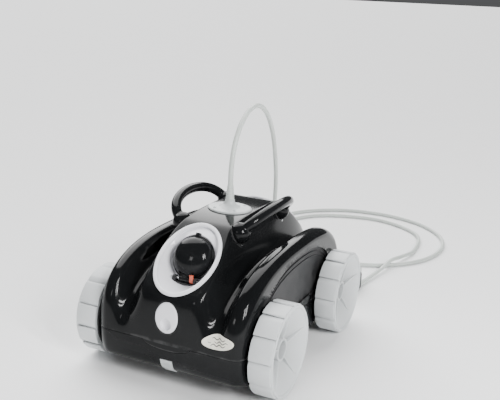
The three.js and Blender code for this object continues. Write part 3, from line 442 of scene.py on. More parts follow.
def rod(start, end, radius, fillet=0.6, sides=48):
    """A round bar from start to end with softened edges."""
    start, end = Vector(start), Vector(end)
    run = end - start
    profile = rounded([(0, 0), (radius, 0), (radius, run.length), (0, run.length)], fillet)
    turn = run.to_track_quat("Z", "Y").to_matrix().to_4x4()
    return moved(turned(profile, sides), Matrix.Translation(start) @ turn)


def prism(outline, start, end):
    """A solid whose outline, a function of the level, is drawn at two levels."""
    return loft([outline(start), outline(end)])


def tube(path, radii, sides=24):
    """A round tube along a path, with a radius for each of its points."""
    path = np.asarray(path, float)
    tangents = np.gradient(path, axis=0)
    tangents /= np.linalg.norm(tangents, axis=1)[:, None]
    across = np.cross(tangents[0], (0.3, 0.2, 1.0))
    angles = around(sides)
    rings = []
    for place, along, radius in zip(path, tangents, radii):
        across = across - along * across.dot(along)
        across /= np.linalg.norm(across)
        other = np.cross(along, across)
        ring = np.outer(np.cos(angles), across) + np.outer(np.sin(angles), other)
        rings.append(place + radius * ring)
    return loft(rings)


def ball(centre, radius, sides=48):
    angles = np.linspace(-math.pi / 2, math.pi / 2, sides // 2 + 1)
    return moved(
        turned([(radius * math.cos(a), radius * math.sin(a)) for a in angles], sides),
        Matrix.Translation(centre),
    )


def block(low, high):
    low, high = np.minimum(low, high), np.maximum(low, high)
    square = ((0, 0), (1, 0), (1, 1), (0, 1))
    ring = [
        [(low[0] + x * (high[0] - low[0]), low[1] + y * (high[1] - low[1]), z) for x, y in square]
        for z in (low[2], high[2])
    ]
    return loft(ring)


# ---- objects ----------------------------------------------------------------
def clean(mesh):
    made = bmesh.new()
    made.from_mesh(mesh)
    bmesh.ops.remove_doubles(made, verts=made.verts, dist=1e-6)
    bmesh.ops.dissolve_degenerate(made, edges=made.edges, dist=1e-7)
    bmesh.ops.recalc_face_normals(made, faces=made.faces)
    made.to_mesh(mesh)
    made.free()


def as_object(name, solid):
    mesh = bpy.data.meshes.new(name)
    points, faces = solid
    mesh.from_pydata((np.asarray(points) * MM).tolist(), [], faces)
    clean(mesh)
    return linked(name, mesh)


def settle(piece):
    """Turns a piece and its modifiers into a plain mesh."""
    graph = bpy.context.evaluated_depsgraph_get()
    mesh = bpy.data.meshes.new_from_object(piece.evaluated_get(graph), depsgraph=graph)
    piece.modifiers.clear()
    piece.data = mesh


def combine(base, tool, operation="DIFFERENCE"):
    """Cuts a solid or an object out of base, or joins it on, and drops it."""
    if isinstance(tool, tuple):
        tool = as_object("tool", tool)
    cut = base.modifiers.new("cut", "BOOLEAN")
    cut.operation = operation
    cut.solver = "MANIFOLD"
    cut.object = tool
    settle(base)
    bpy.data.objects.remove(tool)


def joined(name, solids, cuts=()):
    """One closed body from several solids, less the cuts."""
    piece = as_object(name, solids[0])
    for other in solids[1:]:
        combine(piece, other, "UNION")
    for cut in cuts:
        combine(piece, cut)
    return piece


def soften(piece, width, segments=2, angle=40):
    bevel = piece.modifiers.new("edges", "BEVEL")
    bevel.width = width * MM
    bevel.segments = segments
    bevel.limit_method = "ANGLE"
    bevel.angle_limit = math.radians(angle)
    bevel.use_clamp_overlap = True
    settle(piece)


def dress(piece, slot, nodes=(), body="chassis", sharp=35, material=None):
    """The last step of every piece: shading, the slot's material, body, CAD nodes."""
    piece.data.shade_smooth()
    piece.data.set_sharp_from_angle(angle=math.radians(sharp))
    piece.data.materials.clear()
    piece.data.materials.append(material or FINISH[slot])
    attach(piece, body)
    if nodes:
        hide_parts(*nodes)
    return piece


def finished(name, solid, slot, nodes=(), body="chassis", bevel=0, sharp=35):
    piece = as_object(name, solid)
    if bevel:
        soften(piece, bevel)
    return dress(piece, slot, nodes, body, sharp)


# ---- geometry trees ---------------------------------------------------------
def geometry_tree(name, inputs):
    """An empty geometry tree with these named inputs, and its inputs as wires."""
    group = bpy.data.node_groups.new(name, "GeometryNodeTree")
    for label, kind, default in inputs:
        made = group.interface.new_socket(label, in_out="INPUT", socket_type=kind)
        if default is not None:
            made.default_value = default
    group.interface.new_socket("Mesh", in_out="OUTPUT", socket_type="NodeSocketGeometry")
    tree = Tree(group)
    source = group.nodes.new("NodeGroupInput")
    wires = {label: Wire(tree, source.outputs[label]) for label, _, _ in inputs}
    return tree, wires


def end_tree(tree, mesh, material):
    real = tree.node("GeometryNodeRealizeInstances", {"Geometry": mesh})
    painted = tree.node("GeometryNodeSetMaterial", {"Geometry": real, "Material": material})
    tree.node("NodeGroupOutput", {"Mesh": painted})


def grow(name, tree, values):
    """A plain mesh object made by a geometry tree with these input values."""
    made = linked(name, bpy.data.meshes.new(name))
    modifier = made.modifiers.new("make", "NODES")
    modifier.node_group = tree.group
    sockets = {s.name: s.identifier for s in tree.group.interface.items_tree if s.in_out == "INPUT"}
    for label, value in values.items():
        modifier[sockets[label]] = value
    settle(made)
    return made


def copies_tree():
    """Copies of one piece, each turned on about Z from the one before."""
    tree, given = geometry_tree("ring_of_copies", (
        ("Piece", "NodeSocketObject", None), ("Copies", "NodeSocketInt", 12),
        ("Turn", "NodeSocketFloat", 0.0), ("First Turn", "NodeSocketFloat", 0.0),
        ("Material", "NodeSocketMaterial", None),
    ))
    places = tree.node("GeometryNodeMeshLine", {
        "Count": given["Copies"], "Offset": (0.0, 0.0, 0.0),
    }, mode="OFFSET")
    number = tree.node("GeometryNodeInputIndex")
    angle = given["First Turn"] + number * given["Turn"]
    turn = tree.node("ShaderNodeCombineXYZ", {"Z": angle})
    piece = tree.node("GeometryNodeObjectInfo", {"Object": given["Piece"]}, "Geometry")
    copies = tree.node("GeometryNodeInstanceOnPoints", {
        "Points": places, "Instance": piece, "Rotation": turn,
    })
    end_tree(tree, copies, given["Material"])
    return tree


COPIES = copies_tree()


def repeated(solid, count, slot, turn, first=0.0, bevel=0):
    """Copies of a solid as one solid, each turned on about Z."""
    pattern = as_object("pattern", solid)
    if bevel:
        soften(pattern, bevel)
    made = grow("copies", COPIES, {
        "Piece": pattern, "Copies": count, "Turn": turn, "First Turn": first,
        "Material": FINISH[slot],
    })
    points = np.array([tuple(v.co) for v in made.data.vertices]) / MM
    faces = [tuple(p.vertices) for p in made.data.polygons]
    bpy.data.objects.remove(made)
    bpy.data.objects.remove(pattern)
    return points, faces


# ---- the body's rule --------------------------------------------------------
def crown(x):
    """Height of the cover over x, and how square its arch is there."""
    out = abs(x)
    spine = 1 - ease(out, SPINE_FLAT, SPINE_FOOT)
    fender = ease(out, FENDER_FOOT, FENDER_CREST)
    steps = sum(STEP_RISE * ease(out, low, high) for low, high in FENDER_STEPS)
    steps = steps - STEP_RISE * len(FENDER_STEPS) * fender
    roll = limit((out - FENDER_ROUND) / (HALF_WIDTH - FENDER_ROUND), 0, 1)
    drop = FENDER_DROP * (1 - (1 - roll * roll) ** 0.5)
    height = VALLEY_Z + (SPINE_Z - VALLEY_Z) * spine + (FENDER_Z - VALLEY_Z) * fender + steps - drop
    power = VALLEY_POWER + (HUMP_POWER - VALLEY_POWER) * most(spine, fender)
    return height, power


def reach_at(x, grow=0.0):
    """Half the body's length at x, round the corners of its plan."""
    radius = CORNER + grow
    into = most(abs(x) - (HALF_WIDTH - CORNER), 0)
    return HALF_LENGTH - CORNER + most(radius * radius - into * into, 0) ** 0.5


FACET_SOFT = 4.0


def held_to_facet(y, z, grow):
    """A point drawn in to the slope that the jet's rim sits on, with a soft edge."""
    lean_out, lean_up = math.sin(JET_SLOPE), math.cos(JET_SLOPE)
    out = (abs(y) + JET_Y) * lean_out + (z - JET_Z) * lean_up - grow
    share = limit(0.5 - out / (2 * FACET_SOFT), 0, 1)
    inward = out * share - FACET_SOFT * share * (1 - share) - out
    return y + sign(y) * (lean_out * inward), z + lean_up * inward


SIDE_SHARE, TOP_SHARE = 0.68, 0.9


def body_tree():
    """A closed block with the cover's outside: a sheet wrapped by the body's rule."""
    tree, given = geometry_tree("arched_body", (
        ("Grow", "NodeSocketFloat", 0.0), ("Seam Height", "NodeSocketFloat", SEAM_Z),
        ("Stations", "NodeSocketInt", 201), ("Material", "NodeSocketMaterial", None),
    ))
    grow_by, seam = given["Grow"], given["Seam Height"]
    sheet = tree.node("GeometryNodeMeshGrid", {
        "Size X": 2.0, "Size Y": 2.0,
        "Vertices X": given["Stations"], "Vertices Y": given["Stations"],
    }, "Mesh")
    place = tree.node("GeometryNodeInputPosition")
    across, along = place.axis("X"), place.axis("Y")
    out = abs(across)
    roll = limit((out - SIDE_SHARE) / (TOP_SHARE - SIDE_SHARE), 0, 1)
    x = FENDER_ROUND * limit(out / SIDE_SHARE, 0, 1) + (HALF_WIDTH - FENDER_ROUND) * sine(
        roll * (math.pi / 2))
    inward = limit((out - TOP_SHARE) / (1 - TOP_SHARE), 0, 1)
    height, power = crown(x)
    angle = limit(along / TOP_SHARE, -1, 1) * (math.pi / 2)
    run, rise = abs(sine(angle)), limit(cosine(angle), 0, 1)
    reach = (run ** power + rise ** power) ** ((-1) / power)
    under = limit((abs(along) - TOP_SHARE) / (1 - TOP_SHARE), 0, 1)
    y = sine(angle) * reach * reach_at(x, grow_by)
    z = seam + rise * reach * (height + grow_by - seam)
    y, z = held_to_facet(y, z, grow_by)
    moved_to = tree.node("ShaderNodeCombineXYZ", {
        "X": sign(across) * x * ((HALF_WIDTH + grow_by) / HALF_WIDTH) * MM,
        "Y": y * (1 - most(inward, under)) * MM,
        "Z": (seam + (z - seam) * (1 - inward)) * MM,
    })
    shaped = tree.node("GeometryNodeSetPosition", {"Geometry": sheet, "Position": moved_to})
    closed = tree.node("GeometryNodeMergeByDistance", {"Geometry": shaped, "Distance": 2e-6})
    end_tree(tree, closed, given["Material"])
    return tree


BODY = body_tree()


def body_block(name, grow_by, seam, stations):
    made = grow(name, BODY, {
        "Grow": float(grow_by), "Seam Height": float(seam),
        "Stations": stations, "Material": FINISH["gloss_black"],
    })
    clean(made.data)
    return made


def skirt_inset(z):
    down = np.clip((SEAM_Z - z) / (SEAM_Z - SKIRT_Z), 0, 1)
    return SKIRT_TUCK * (1 - (1 - down ** SKIRT_POWER) ** (1 / SKIRT_POWER))


def outline(grow_by, inset, z, steps=14):
    """The body's plan at a height: a box with round corners."""
    radius = CORNER + grow_by
    x, y = HALF_WIDTH - CORNER, HALF_LENGTH - CORNER - inset
    ring = []
    for quarter, (sx, sy) in enumerate(((1, 1), (-1, 1), (-1, -1), (1, -1))):
        for i in range(steps + 1):
            angle = (quarter + i / steps) * math.pi / 2
            ring.append((sx * x + radius * math.cos(angle), sy * y + radius * math.sin(angle), z))
    return ring


def skirt_block(grow_by, low, high, levels=22):
    heights = [low + (high - low) * (i / levels) ** 1.6 for i in range(levels + 1)]
    return loft([outline(grow_by, float(skirt_inset(z)), z) for z in heights])


def on_slope(across, along, out, y, z, slope):
    """Points on a plane through y and z that leans by slope, raised out of it by out."""
    return np.stack([
        across,
        y + along * math.cos(slope) - out * math.sin(slope),
        z + along * math.sin(slope) + out * math.cos(slope),
    ], -1)


def oval(half_width, half_length, out, *plane):
    """An oval of 96 points on a leaning plane."""
    angles = around(96)
    return on_slope(half_width * np.cos(angles), half_length * np.sin(angles), out, *plane)


def jet_ring(inset, out):
    return oval(JET_HALF_WIDTH - inset, JET_HALF_LENGTH - inset, out, JET_Y, JET_Z, JET_SLOPE)


def mouth_ring(radius, out):
    return oval(radius, radius, out, MOUTH_Y, MOUTH_Z, MOUTH_SLOPE)


def mouth_point(x, along, out):
    return on_slope(x, along, out, MOUTH_Y, MOUTH_Z, MOUTH_SLOPE)


def bowl_ring(grow_by, out):
    radius = MOUTH_RADIUS + BOWL_ROOM + grow_by
    _, y, z = mouth_point(0, -BOWL_SAG, 0)
    return oval(radius, radius + BOWL_SAG, out, y, z, MOUTH_SLOPE)


def arch_ring(inset, x, count=96):
    """The outline of the opening in a fender's side, drawn in by inset."""
    angles = np.linspace(0, math.pi, count)
    swing, rise = np.cos(angles), np.sin(angles)
    return np.stack([
        np.full(count, float(x)),
        -np.sign(swing) * np.abs(swing) ** (2 / ARCH_POWER) * (ARCH_HALF_LENGTH - inset),
        ARCH_BASE_Z + inset + (ARCH_HEIGHT - 2 * inset) * np.clip(rise, 0, 1) ** (2 / ARCH_POWER),
    ], 1)


def front_skin(x, z):
    """Points on the front of the cover over x and z."""
    height, power = crown(x)
    share = np.clip((z - SEAM_Z) / (height - SEAM_Z), 0, 1)
    return np.stack([x, -reach_at(x) * (1 - share ** power) ** (1 / power), z], -1)


def top_skin(x, y):
    """Points on the top of the cover over x and y."""
    height, power = crown(x)
    share = np.clip(abs(y) / reach_at(x), 0, 1)
    return np.stack([x, y, SEAM_Z + (height - SEAM_Z) * (1 - share ** power) ** (1 / power)], -1)


def off_skin(skin, a, b, lift):
    """Points raised off a skin along its outward direction."""
    step = 0.2
    one = skin(a + step, b) - skin(a - step, b)
    other = skin(a, b + step) - skin(a, b - step)
    out = np.cross(one, other)
    out /= np.linalg.norm(out, axis=-1, keepdims=True)
    point = skin(a, b)
    outward = np.sign(np.sum(out * (point - np.array([0, 0, 110.0])), -1, keepdims=True))
    return point + out * outward * np.asarray(lift)[..., None]


def pad(skin, centre, half, levels, tilt=0.0, base=-4.0, shape=None, sides=96):
    """An oval plate on a skin. levels are (share of the way out, height) pairs."""
    angles = around(sides)
    rings = []
    for share, lift in [(0.001, base), *[(levels[-1][0], base)], *levels[::-1]]:
        across, up = half[0] * share * np.cos(angles), half[1] * share * np.sin(angles)
        a = across * math.cos(tilt) - up * math.sin(tilt)
        b = across * math.sin(tilt) + up * math.cos(tilt)
        raised = np.full(sides, float(lift))
        if shape is not None and lift > base:
            raised = raised + shape(a, b)
        rings.append(off_skin(skin, centre[0] + a, centre[1] + b, raised))
    return loft(rings)


# ---- cable ------------------------------------------------------------------
def coil_line():
    """The coil's turns, column by column from the outside in, then its tail."""
    entry = np.array(CABLE_ROUTE[-1][:2]) - (COIL_X, COIL_Y)
    start = math.atan2(entry[1], entry[0])
    outer = coil_high[0] - COIL_X - CABLE / 2
    low = coil_low[2] + CABLE / 2
    inner = outer - (COIL_LAYERS - 1) * CABLE
    bend = (inner ** 2 - PLUG_X ** 2 - PLUG_Y ** 2) / (2 * (inner - PLUG_X))
    bend_x, bend_y = bend - PLUG_X, -PLUG_Y
    leave = math.atan2(bend_y, bend_x)
    turns = COIL_LAYERS ** 2 - 1 + (start - leave) / (2 * math.pi)

    def slot(number):
        column, row = divmod(number, COIL_LAYERS)
        row = row if column % 2 == 0 else COIL_LAYERS - 1 - row
        return np.array([outer - column * CABLE, low + row * CABLE])

    points = []
    steps = round(turns * COIL_POINTS)
    for i in range(1, steps + 1):
        at = turns * i / steps
        number = min(int(at), COIL_LAYERS ** 2 - 1)
        following = min(number + 1, COIL_LAYERS ** 2 - 1)
        radius, z = slot(number) + (slot(following) - slot(number)) * ease(at - number, 0.8, 1.0)
        angle = start - 2 * math.pi * at
        points.append((COIL_X + radius * math.cos(angle), COIL_Y + radius * math.sin(angle), z))
    sweep = math.pi + leave
    for i in range(1, 7):
        angle = leave - sweep * i / 6
        points.append((
            COIL_X + bend_x + bend * math.cos(angle), COIL_Y + bend_y + bend * math.sin(angle),
            low + (PLUG_Z - low) * i / 6,
        ))
    x, y, z = points[-1]
    return points + [(x, y + 3.0, z)]


def make_cable():
    line = [np.array(p, float) for p in [*CABLE_ROUTE, *coil_line()]]
    line.insert(0, np.array([0, GLAND_Y, CABLE_ROUTE[0][2] - 4.0]))
    curve = bpy.data.curves.new("cable_line", "CURVE")
    curve.dimensions = "3D"
    curve.resolution_u = 8
    curve.bevel_depth = CABLE / 2 * MM
    curve.bevel_resolution = 5
    curve.use_fill_caps = True
    spline = curve.splines.new("BEZIER")
    spline.bezier_points.add(len(line) - 1)
    for i, knot in enumerate(spline.bezier_points):
        before, here, after = line[max(i - 1, 0)], line[i], line[min(i + 1, len(line) - 1)]
        near, far = np.linalg.norm(here - before), np.linalg.norm(after - here)
        along = (after - before) / (near + far)
        knot.handle_left_type = knot.handle_right_type = "FREE"
        knot.co = here * MM
        floor = np.array([-9999, -9999, CABLE / 2 + 0.3])
        knot.handle_left = np.maximum(here - along * near / 3, floor) * MM
        knot.handle_right = np.maximum(here + along * far / 3, floor) * MM
    piece = linked("power_cable", curve)
    curve.materials.append(FINISH["cable_sheath"])
    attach(piece, "chassis")
    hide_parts("cable", "cable_coil", "cable_tail")
    return piece


def make_strain_relief():
    low, high = box_mm("strain_relief")
    steps = 60
    profile = [(0, low[2])]
    for i in range(steps + 1):
        share = i / steps
        taper = RELIEF_FOOT + (RELIEF_TIP - RELIEF_FOOT) * share
        ripple = RIPPLE_DEPTH * max(0.0, math.sin(share * 2 * math.pi * RELIEF_RIPPLES))
        ripple = ripple * (0.06 < share < 0.9)
        profile.append((taper + ripple - 0.4, low[2] + (high[2] - low[2]) * share))
    profile.append((0, high[2]))
    solid = moved(turned(profile, 48), Matrix.Translation((0, GLAND_Y, 0)))
    finished("strain_relief_sleeve", solid, "cable_sheath", ["strain_relief"])


def make_connector():
    """A straight low-voltage connector: tapered neck, ribbed grip, locking collar."""
    low, high = box_mm("cable_connector")
    length = high[1] - low[1]
    radius = (high[0] - low[0]) / 2
    profile = rounded([
        (0, 0), (PLUG_NECK, 0), (radius - 1.4, 15), (radius - 1.4, GRIP_LOW), (radius, GRIP_LOW),
        (radius, GRIP_HIGH), (radius - 1.2, GRIP_HIGH), (radius - 1.2, length - 1),
        (radius - 3, length - 1), (radius - 3, length - 8), (0, length - 8),
    ], 0.9)
    grip = block((radius - 2.2, -0.7, GRIP_LOW + 1.5), (radius - 0.05, 0.7, GRIP_HIGH - 1.5))
    pin = rod((4, 0, length - 10), (4, 0, length - 2), 1.2, 0.4, 20)
    solid = together(
        turned(profile, 64), repeated(grip, 20, "satin_black", turn=math.pi / 10, bevel=0.3),
        repeated(pin, 2, "satin_black", turn=math.pi),
    )
    turn = Matrix.Rotation(-math.pi / 2, 4, "X")
    place = Matrix.Translation(((low[0] + high[0]) / 2, low[1], (low[2] + high[2]) / 2))
    return finished("cable_plug", moved(solid, place @ turn), "satin_black", ["cable_connector"])


def make_ties():
    """Flat straps round the coil."""
    made = []
    for side, _ in SIDES:
        low, high = box_mm(f"coil_tie_{side}")
        centre = (low[1] + high[1]) / 2
        rings = []
        for inset, radius, wide in (
            (0, 7.0, -1), (0, 7.0, 1), (TIE_THICKNESS, 6.0, 1), (TIE_THICKNESS, 6.0, -1),
        ):
            left, right, foot, top = low[0] + inset, high[0] - inset, 0.1 + inset, high[2] - inset
            band = rounded([(left, foot), (right, foot), (right, top), (left, top)], radius, 5, True)
            rings.append([(x, centre + wide * TIE_HALF_WIDTH, z) for x, z in band])
        made.append(finished(f"coil_strap_{side}", loft(rings, True), "satin_black",
                             [f"coil_tie_{side}"], bevel=0.3))
    return made


cable = make_cable()
make_strain_relief()
plug = make_connector()
ties = make_ties()


# ---- cover and tub ----------------------------------------------------------
def make_lip(facing):
    """The cover's tongue, which laps the skirt below the release button."""
    rings = []
    for i in range(41):
        across = -math.cos(math.pi * i / 40)
        x = TONGUE_HALF_WIDTH * across
        drop = max(TONGUE_DROP * math.sqrt(max(1 - across * across, 0)), 0.02)
        heights = SEAM_Z + 0.02 - np.linspace(0, 1, 9) * drop
        depth = HALF_LENGTH - skirt_inset(heights)
        front = [(x, -d, z) for d, z in zip(depth, heights)]
        back = [(x, -d + WALL, z) for d, z in zip(depth, heights)][::-1]
        rings.append(front + back)
    return at_end(loft(rings), facing)


def tongue_prism(grow_by):
    half, drop = TONGUE_HALF_WIDTH + grow_by, TONGUE_DROP + grow_by
    angles = np.linspace(0, math.pi, 41)
    curve = [(-half * math.cos(a), SEAM_Z - drop * math.sin(a)) for a in angles]
    curve += [(half, SEAM_Z + 6), (-half, SEAM_Z + 6)]
    return prism(lambda y: [(x, y, z) for x, z in curve], -HALF_LENGTH - 10, -HALF_LENGTH + CORNER)


def axle_rod(side, facing, start, end, radius):
    """A rod on a wheel's axle line, between two distances from the middle."""
    y = facing * AXLE_Y
    return rod((side * start, y, WHEEL_RADIUS), (side * end, y, WHEEL_RADIUS), radius)


def make_cover():
    cover = body_block("cover", 0, SEAM_Z, 201)
    combine(cover, body_block("cover_hollow", -WALL, SEAM_Z - 12, 81))
    jet_hole = prism(lambda out: jet_ring(RIM_WIDTH - BUCKET_WALL - FIT_GAP, out), -40, 60)
    half_x, half_z = (half + FIT_GAP for half in BUTTON_HALF)
    button_hole = prism(lambda y: [
        (half_x * math.cos(a), y, BUTTON_Z + half_z * math.sin(a)) for a in around(72)
    ], -HALF_LENGTH - 5, -HALF_LENGTH + 45)
    for _, facing in ENDS:
        combine(cover, make_lip(facing), "UNION")
        combine(cover, at_end(jet_hole, facing))
        combine(cover, at_end(button_hole, facing))
    for _, side in SIDES:
        combine(cover, prism(lambda x: arch_ring(0, side * x), HALF_WIDTH - WALL - 6, HALF_WIDTH + 2))
        for _, facing in ENDS:
            hole = AXLE_BOSS + FIT_GAP
            combine(cover, axle_rod(side, facing, HALF_WIDTH - 12, HALF_WIDTH + 2, hole))
            seat = (side * HANDLE_X, facing * HANDLE_Y, HANDLE_Z)
            combine(cover, ball(seat, HANDLE_BALL + FIT_GAP))
    soften(cover, 0.6, 2, 50)
    dress(cover, "gloss_black", ["upper_cover"], sharp=40)
    cover.name = "upper_cover_shell"


def make_tub():
    tub = as_object("tub_shell", skirt_block(0, SKIRT_Z, SEAM_Z - SEAM_GAP))
    combine(tub, skirt_block(-WALL, SKIRT_Z + 3.5, SEAM_Z + 2))
    for _, side in SIDES:
        for _, facing in ENDS:
            boss = axle_rod(side, facing, HALF_WIDTH - 24, HALF_WIDTH - 0.5, AXLE_BOSS)
            combine(tub, boss, "UNION")
            combine(tub, axle_rod(side, facing, HALF_WIDTH - 20, HALF_WIDTH + 2, AXLE_BORE))
    door_low, door_high = box_mm("bottom_door")
    gap = np.array([0.6, 0.6, 12])
    combine(tub, block(door_low - gap, door_high + gap))
    latch_low, latch_high = box_mm("door_latch_front")
    slot = block((latch_low[0] - FIT_GAP, -HALF_LENGTH - 5, SKIRT_Z - 5),
                 (latch_high[0] + FIT_GAP, door_low[1] - 8, latch_high[2] + 1.6))
    for _, facing in ENDS:
        combine(tub, at_end(tongue_prism(SEAM_GAP), facing))
        combine(tub, at_end(slot, facing))
    soften(tub, 0.5, 2, 50)
    dress(tub, "gloss_black", ["tub"], sharp=40)


def make_side_panels():
    face = HALF_WIDTH - WALL - FIT_GAP
    for name, side in SIDES:
        plate = prism(lambda x: arch_ring(-3, side * x), face - 2.5, face)
        beads = []
        for inset, radius in ((8.0, 1.7), (16.0, 1.3)):
            path = arch_ring(inset, side * (face + 0.1), 120)
            beads.append(tube(path, np.full(len(path), radius), 12))
        finished(f"side_panel_{name}_moulding", together(plate, *beads), "satin_black",
                 [f"side_panel_{name}"], sharp=40)


make_cover()
make_tub()
make_side_panels()


# ---- wheels -----------------------------------------------------------------
def wheel_solid():
    """A wheel with its axle along Z, its outer face at the top."""
    face, floor = WHEEL_WIDTH, WHEEL_RADIUS - TREAD_DEPTH
    dish = face - DISH_DEPTH
    recess = face - HUB_INSET - HUB_BORE_DEPTH
    hub_top = face - HUB_INSET
    back_rim = floor - 5.5
    profile = rounded([
        (AXLE_RADIUS, 0), (14.5, 0), (14.5, dish - 3.5), (back_rim, face - 10.7), (back_rim, 0),
        (floor, 0), (floor, face - 4), (floor + 1.6, face - 2.6), (floor + 1.4, face),
        (floor - 2.0, face), (floor - 3.2, face - 2.6), (HUB_RADIUS, dish),
        (HUB_RADIUS, hub_top), (HUB_BORE, hub_top), (HUB_BORE, recess), (AXLE_RADIUS, recess),
    ], 1.1, 4, True)
    pitch = 2 * math.pi / TREAD_BLOCKS
    angles = [-pitch * TREAD_GROOVE, *np.linspace(0, pitch * (1 - TREAD_GROOVE), 9)]
    radii = [floor + 0.1, *[WHEEL_RADIUS - 0.05] * 9]
    edge = [(r * math.cos(a), r * math.sin(a)) for r, a in zip(radii, angles)]
    root = [((floor - 1.5) * math.cos(a), (floor - 1.5) * math.sin(a)) for a in (angles[-1], angles[0])]
    tread = prism(lambda z: [(x, y, z) for x, y in edge + root], 0.05, face - 2.2)
    top, low = hub_top - 0.4, dish - 1.5
    fin = [
        (HUB_RADIUS - 2, low), (floor - 1.2, face - 6), (floor - 1.2, face - 2.6),
        (HUB_RADIUS - 2, top),
    ]
    rib = prism(lambda y: [(x, y, z) for x, z in fin], -RIB_WIDTH / 2, RIB_WIDTH / 2)
    turn = 2 * math.pi / WHEEL_RIBS
    return together(
        turned(profile, 96, True),
        repeated(tread, TREAD_BLOCKS, "wheel_grey", turn=pitch, bevel=0.7),
        repeated(rib, WHEEL_RIBS, "wheel_grey", turn=turn, first=turn * 0.45, bevel=0.5),
    )


def disc_solid():
    """The black plate behind a wheel, with two stiffening rings."""
    profile = rounded([
        (AXLE_RADIUS, 0), (66, 0), (66, 3), (60, 3), (60, 2.3), (44, 2.3), (44, 3),
        (41, 3), (41, 2.3), (AXLE_RADIUS, 2.3),
    ], 0.7, 3, True)
    return turned(profile, 96, True)


def cap_solid():
    """A domed push-on cap with a ring round its edge."""
    low, high = box_mm("axle_cap_front_right")
    tall = high[0] - low[0]
    return turned(rounded([
        (0, 0), (12, 0), (12, tall - 1.4), (10.4, tall - 1.4), (9.4, tall - 0.6), (0, tall),
    ], 0.8, 4), 64)


def make_wheels():
    pieces = (
        ("wheel", "moulding", wheel_solid(), "wheel_grey"),
        ("wheel_disc", "plate", disc_solid(), "satin_black"),
        ("axle_cap", "dome", cap_solid(), "wheel_grey"),
    )
    for end, facing in ENDS:
        for name, side in SIDES:
            corner = f"{end}_{name}"
            turn = Matrix.Rotation(side * math.pi / 2, 4, "Y")
            for kind, form, solid, slot in pieces:
                x = box_mm(f"{kind}_front_right")[0][0]
                place = Matrix.Translation((side * x, facing * AXLE_Y, WHEEL_RADIUS))
                body = "chassis" if kind == "axle_cap" else f"wheel_{corner}"
                finished(f"{kind}_{corner}_{form}", moved(solid, place @ turn), slot,
                         [f"{kind}_{corner}"], body)


make_wheels()


# ---- jets -------------------------------------------------------------------
MOUTH_BACK = -0.3 - BUCKET_WALL


def bucket_solid():
    """The white recess: a raised rim, sloping walls, and a floor with the mouth."""
    floor = MOUTH_BACK + BUCKET_WALL
    rings = [
        jet_ring(0, 0.3), jet_ring(0, 2.2), jet_ring(0.25, 2.9), jet_ring(0.8, 3.35),
        jet_ring(1.5, RIM_THICKNESS), jet_ring(RIM_WIDTH - 1.8, RIM_THICKNESS),
        jet_ring(RIM_WIDTH - 0.9, 3.3), jet_ring(RIM_WIDTH - 0.3, 2.7), jet_ring(RIM_WIDTH, 1.6),
    ]
    top, low = jet_ring(RIM_WIDTH, -1), bowl_ring(0, floor + 1.4)
    rings += [top + (low - top) * s for s in np.linspace(0, 1, 22)]
    rings += [bowl_ring(-0.4, floor + 0.4), bowl_ring(-1.4, floor)]
    rings += [mouth_ring(MOUTH_RADIUS + 1.0, floor), mouth_ring(MOUTH_RADIUS + 0.2, floor - 0.3)]
    rings += [mouth_ring(MOUTH_RADIUS, floor - 1.0), mouth_ring(MOUTH_RADIUS, MOUTH_BACK)]
    wall_top = RIM_WIDTH - BUCKET_WALL
    rings += [bowl_ring(BUCKET_WALL, MOUTH_BACK), jet_ring(wall_top, -3), jet_ring(wall_top, 0.3)]
    return loft(rings, True)


HINGE = mouth_point(0, -HINGE_DROP, HINGE_OUT)


def flap_solid():
    """The domed flap: a stepped disc, a dome, a lift tab, and arms to its knuckle."""
    disc = [(0.001, 0.3), (FLAP_RADIUS - 0.8, 0.3), (FLAP_RADIUS, 1.0), (FLAP_RADIUS, 2.6)]
    disc += [(FLAP_RADIUS - 0.6, 3.2), (FLAP_RADIUS - 2.0, 3.3), (FLAP_RADIUS - 2.4, 3.9)]
    for i in range(1, 25):
        angle = math.pi / 2 * i / 24
        disc.append(((FLAP_RADIUS - 3.0) * math.cos(angle) ** 0.9 + 0.001,
                     3.9 + (DOME_HEIGHT - 0.9) * math.sin(angle)))
    dome = loft([mouth_ring(radius, out) for radius, out in disc])
    knuckle_end = CLIP_X - CLIP_WIDTH / 2 - FIT_GAP
    y, z = HINGE[1:]
    drum = rod((-knuckle_end, y, z), (knuckle_end, y, z), HINGE_DRUM - 0.3, 0.5, 32)
    lean = Matrix.Rotation(MOUTH_SLOPE, 4, "X")
    arm = moved(block((-knuckle_end, -1.6, -HINGE_OUT + 1.4), (knuckle_end, 8.6, 2.2)),
                Matrix.Translation(HINGE) @ lean)
    tab_at = mouth_point(0, FLAP_RADIUS - 1, FLAP_THICKNESS)
    tab = moved(block((-3.4, -4.3, -1.8), (3.4, 4.3, 4.8)), Matrix.Translation(tab_at) @ lean)
    return dome, drum, arm, tab


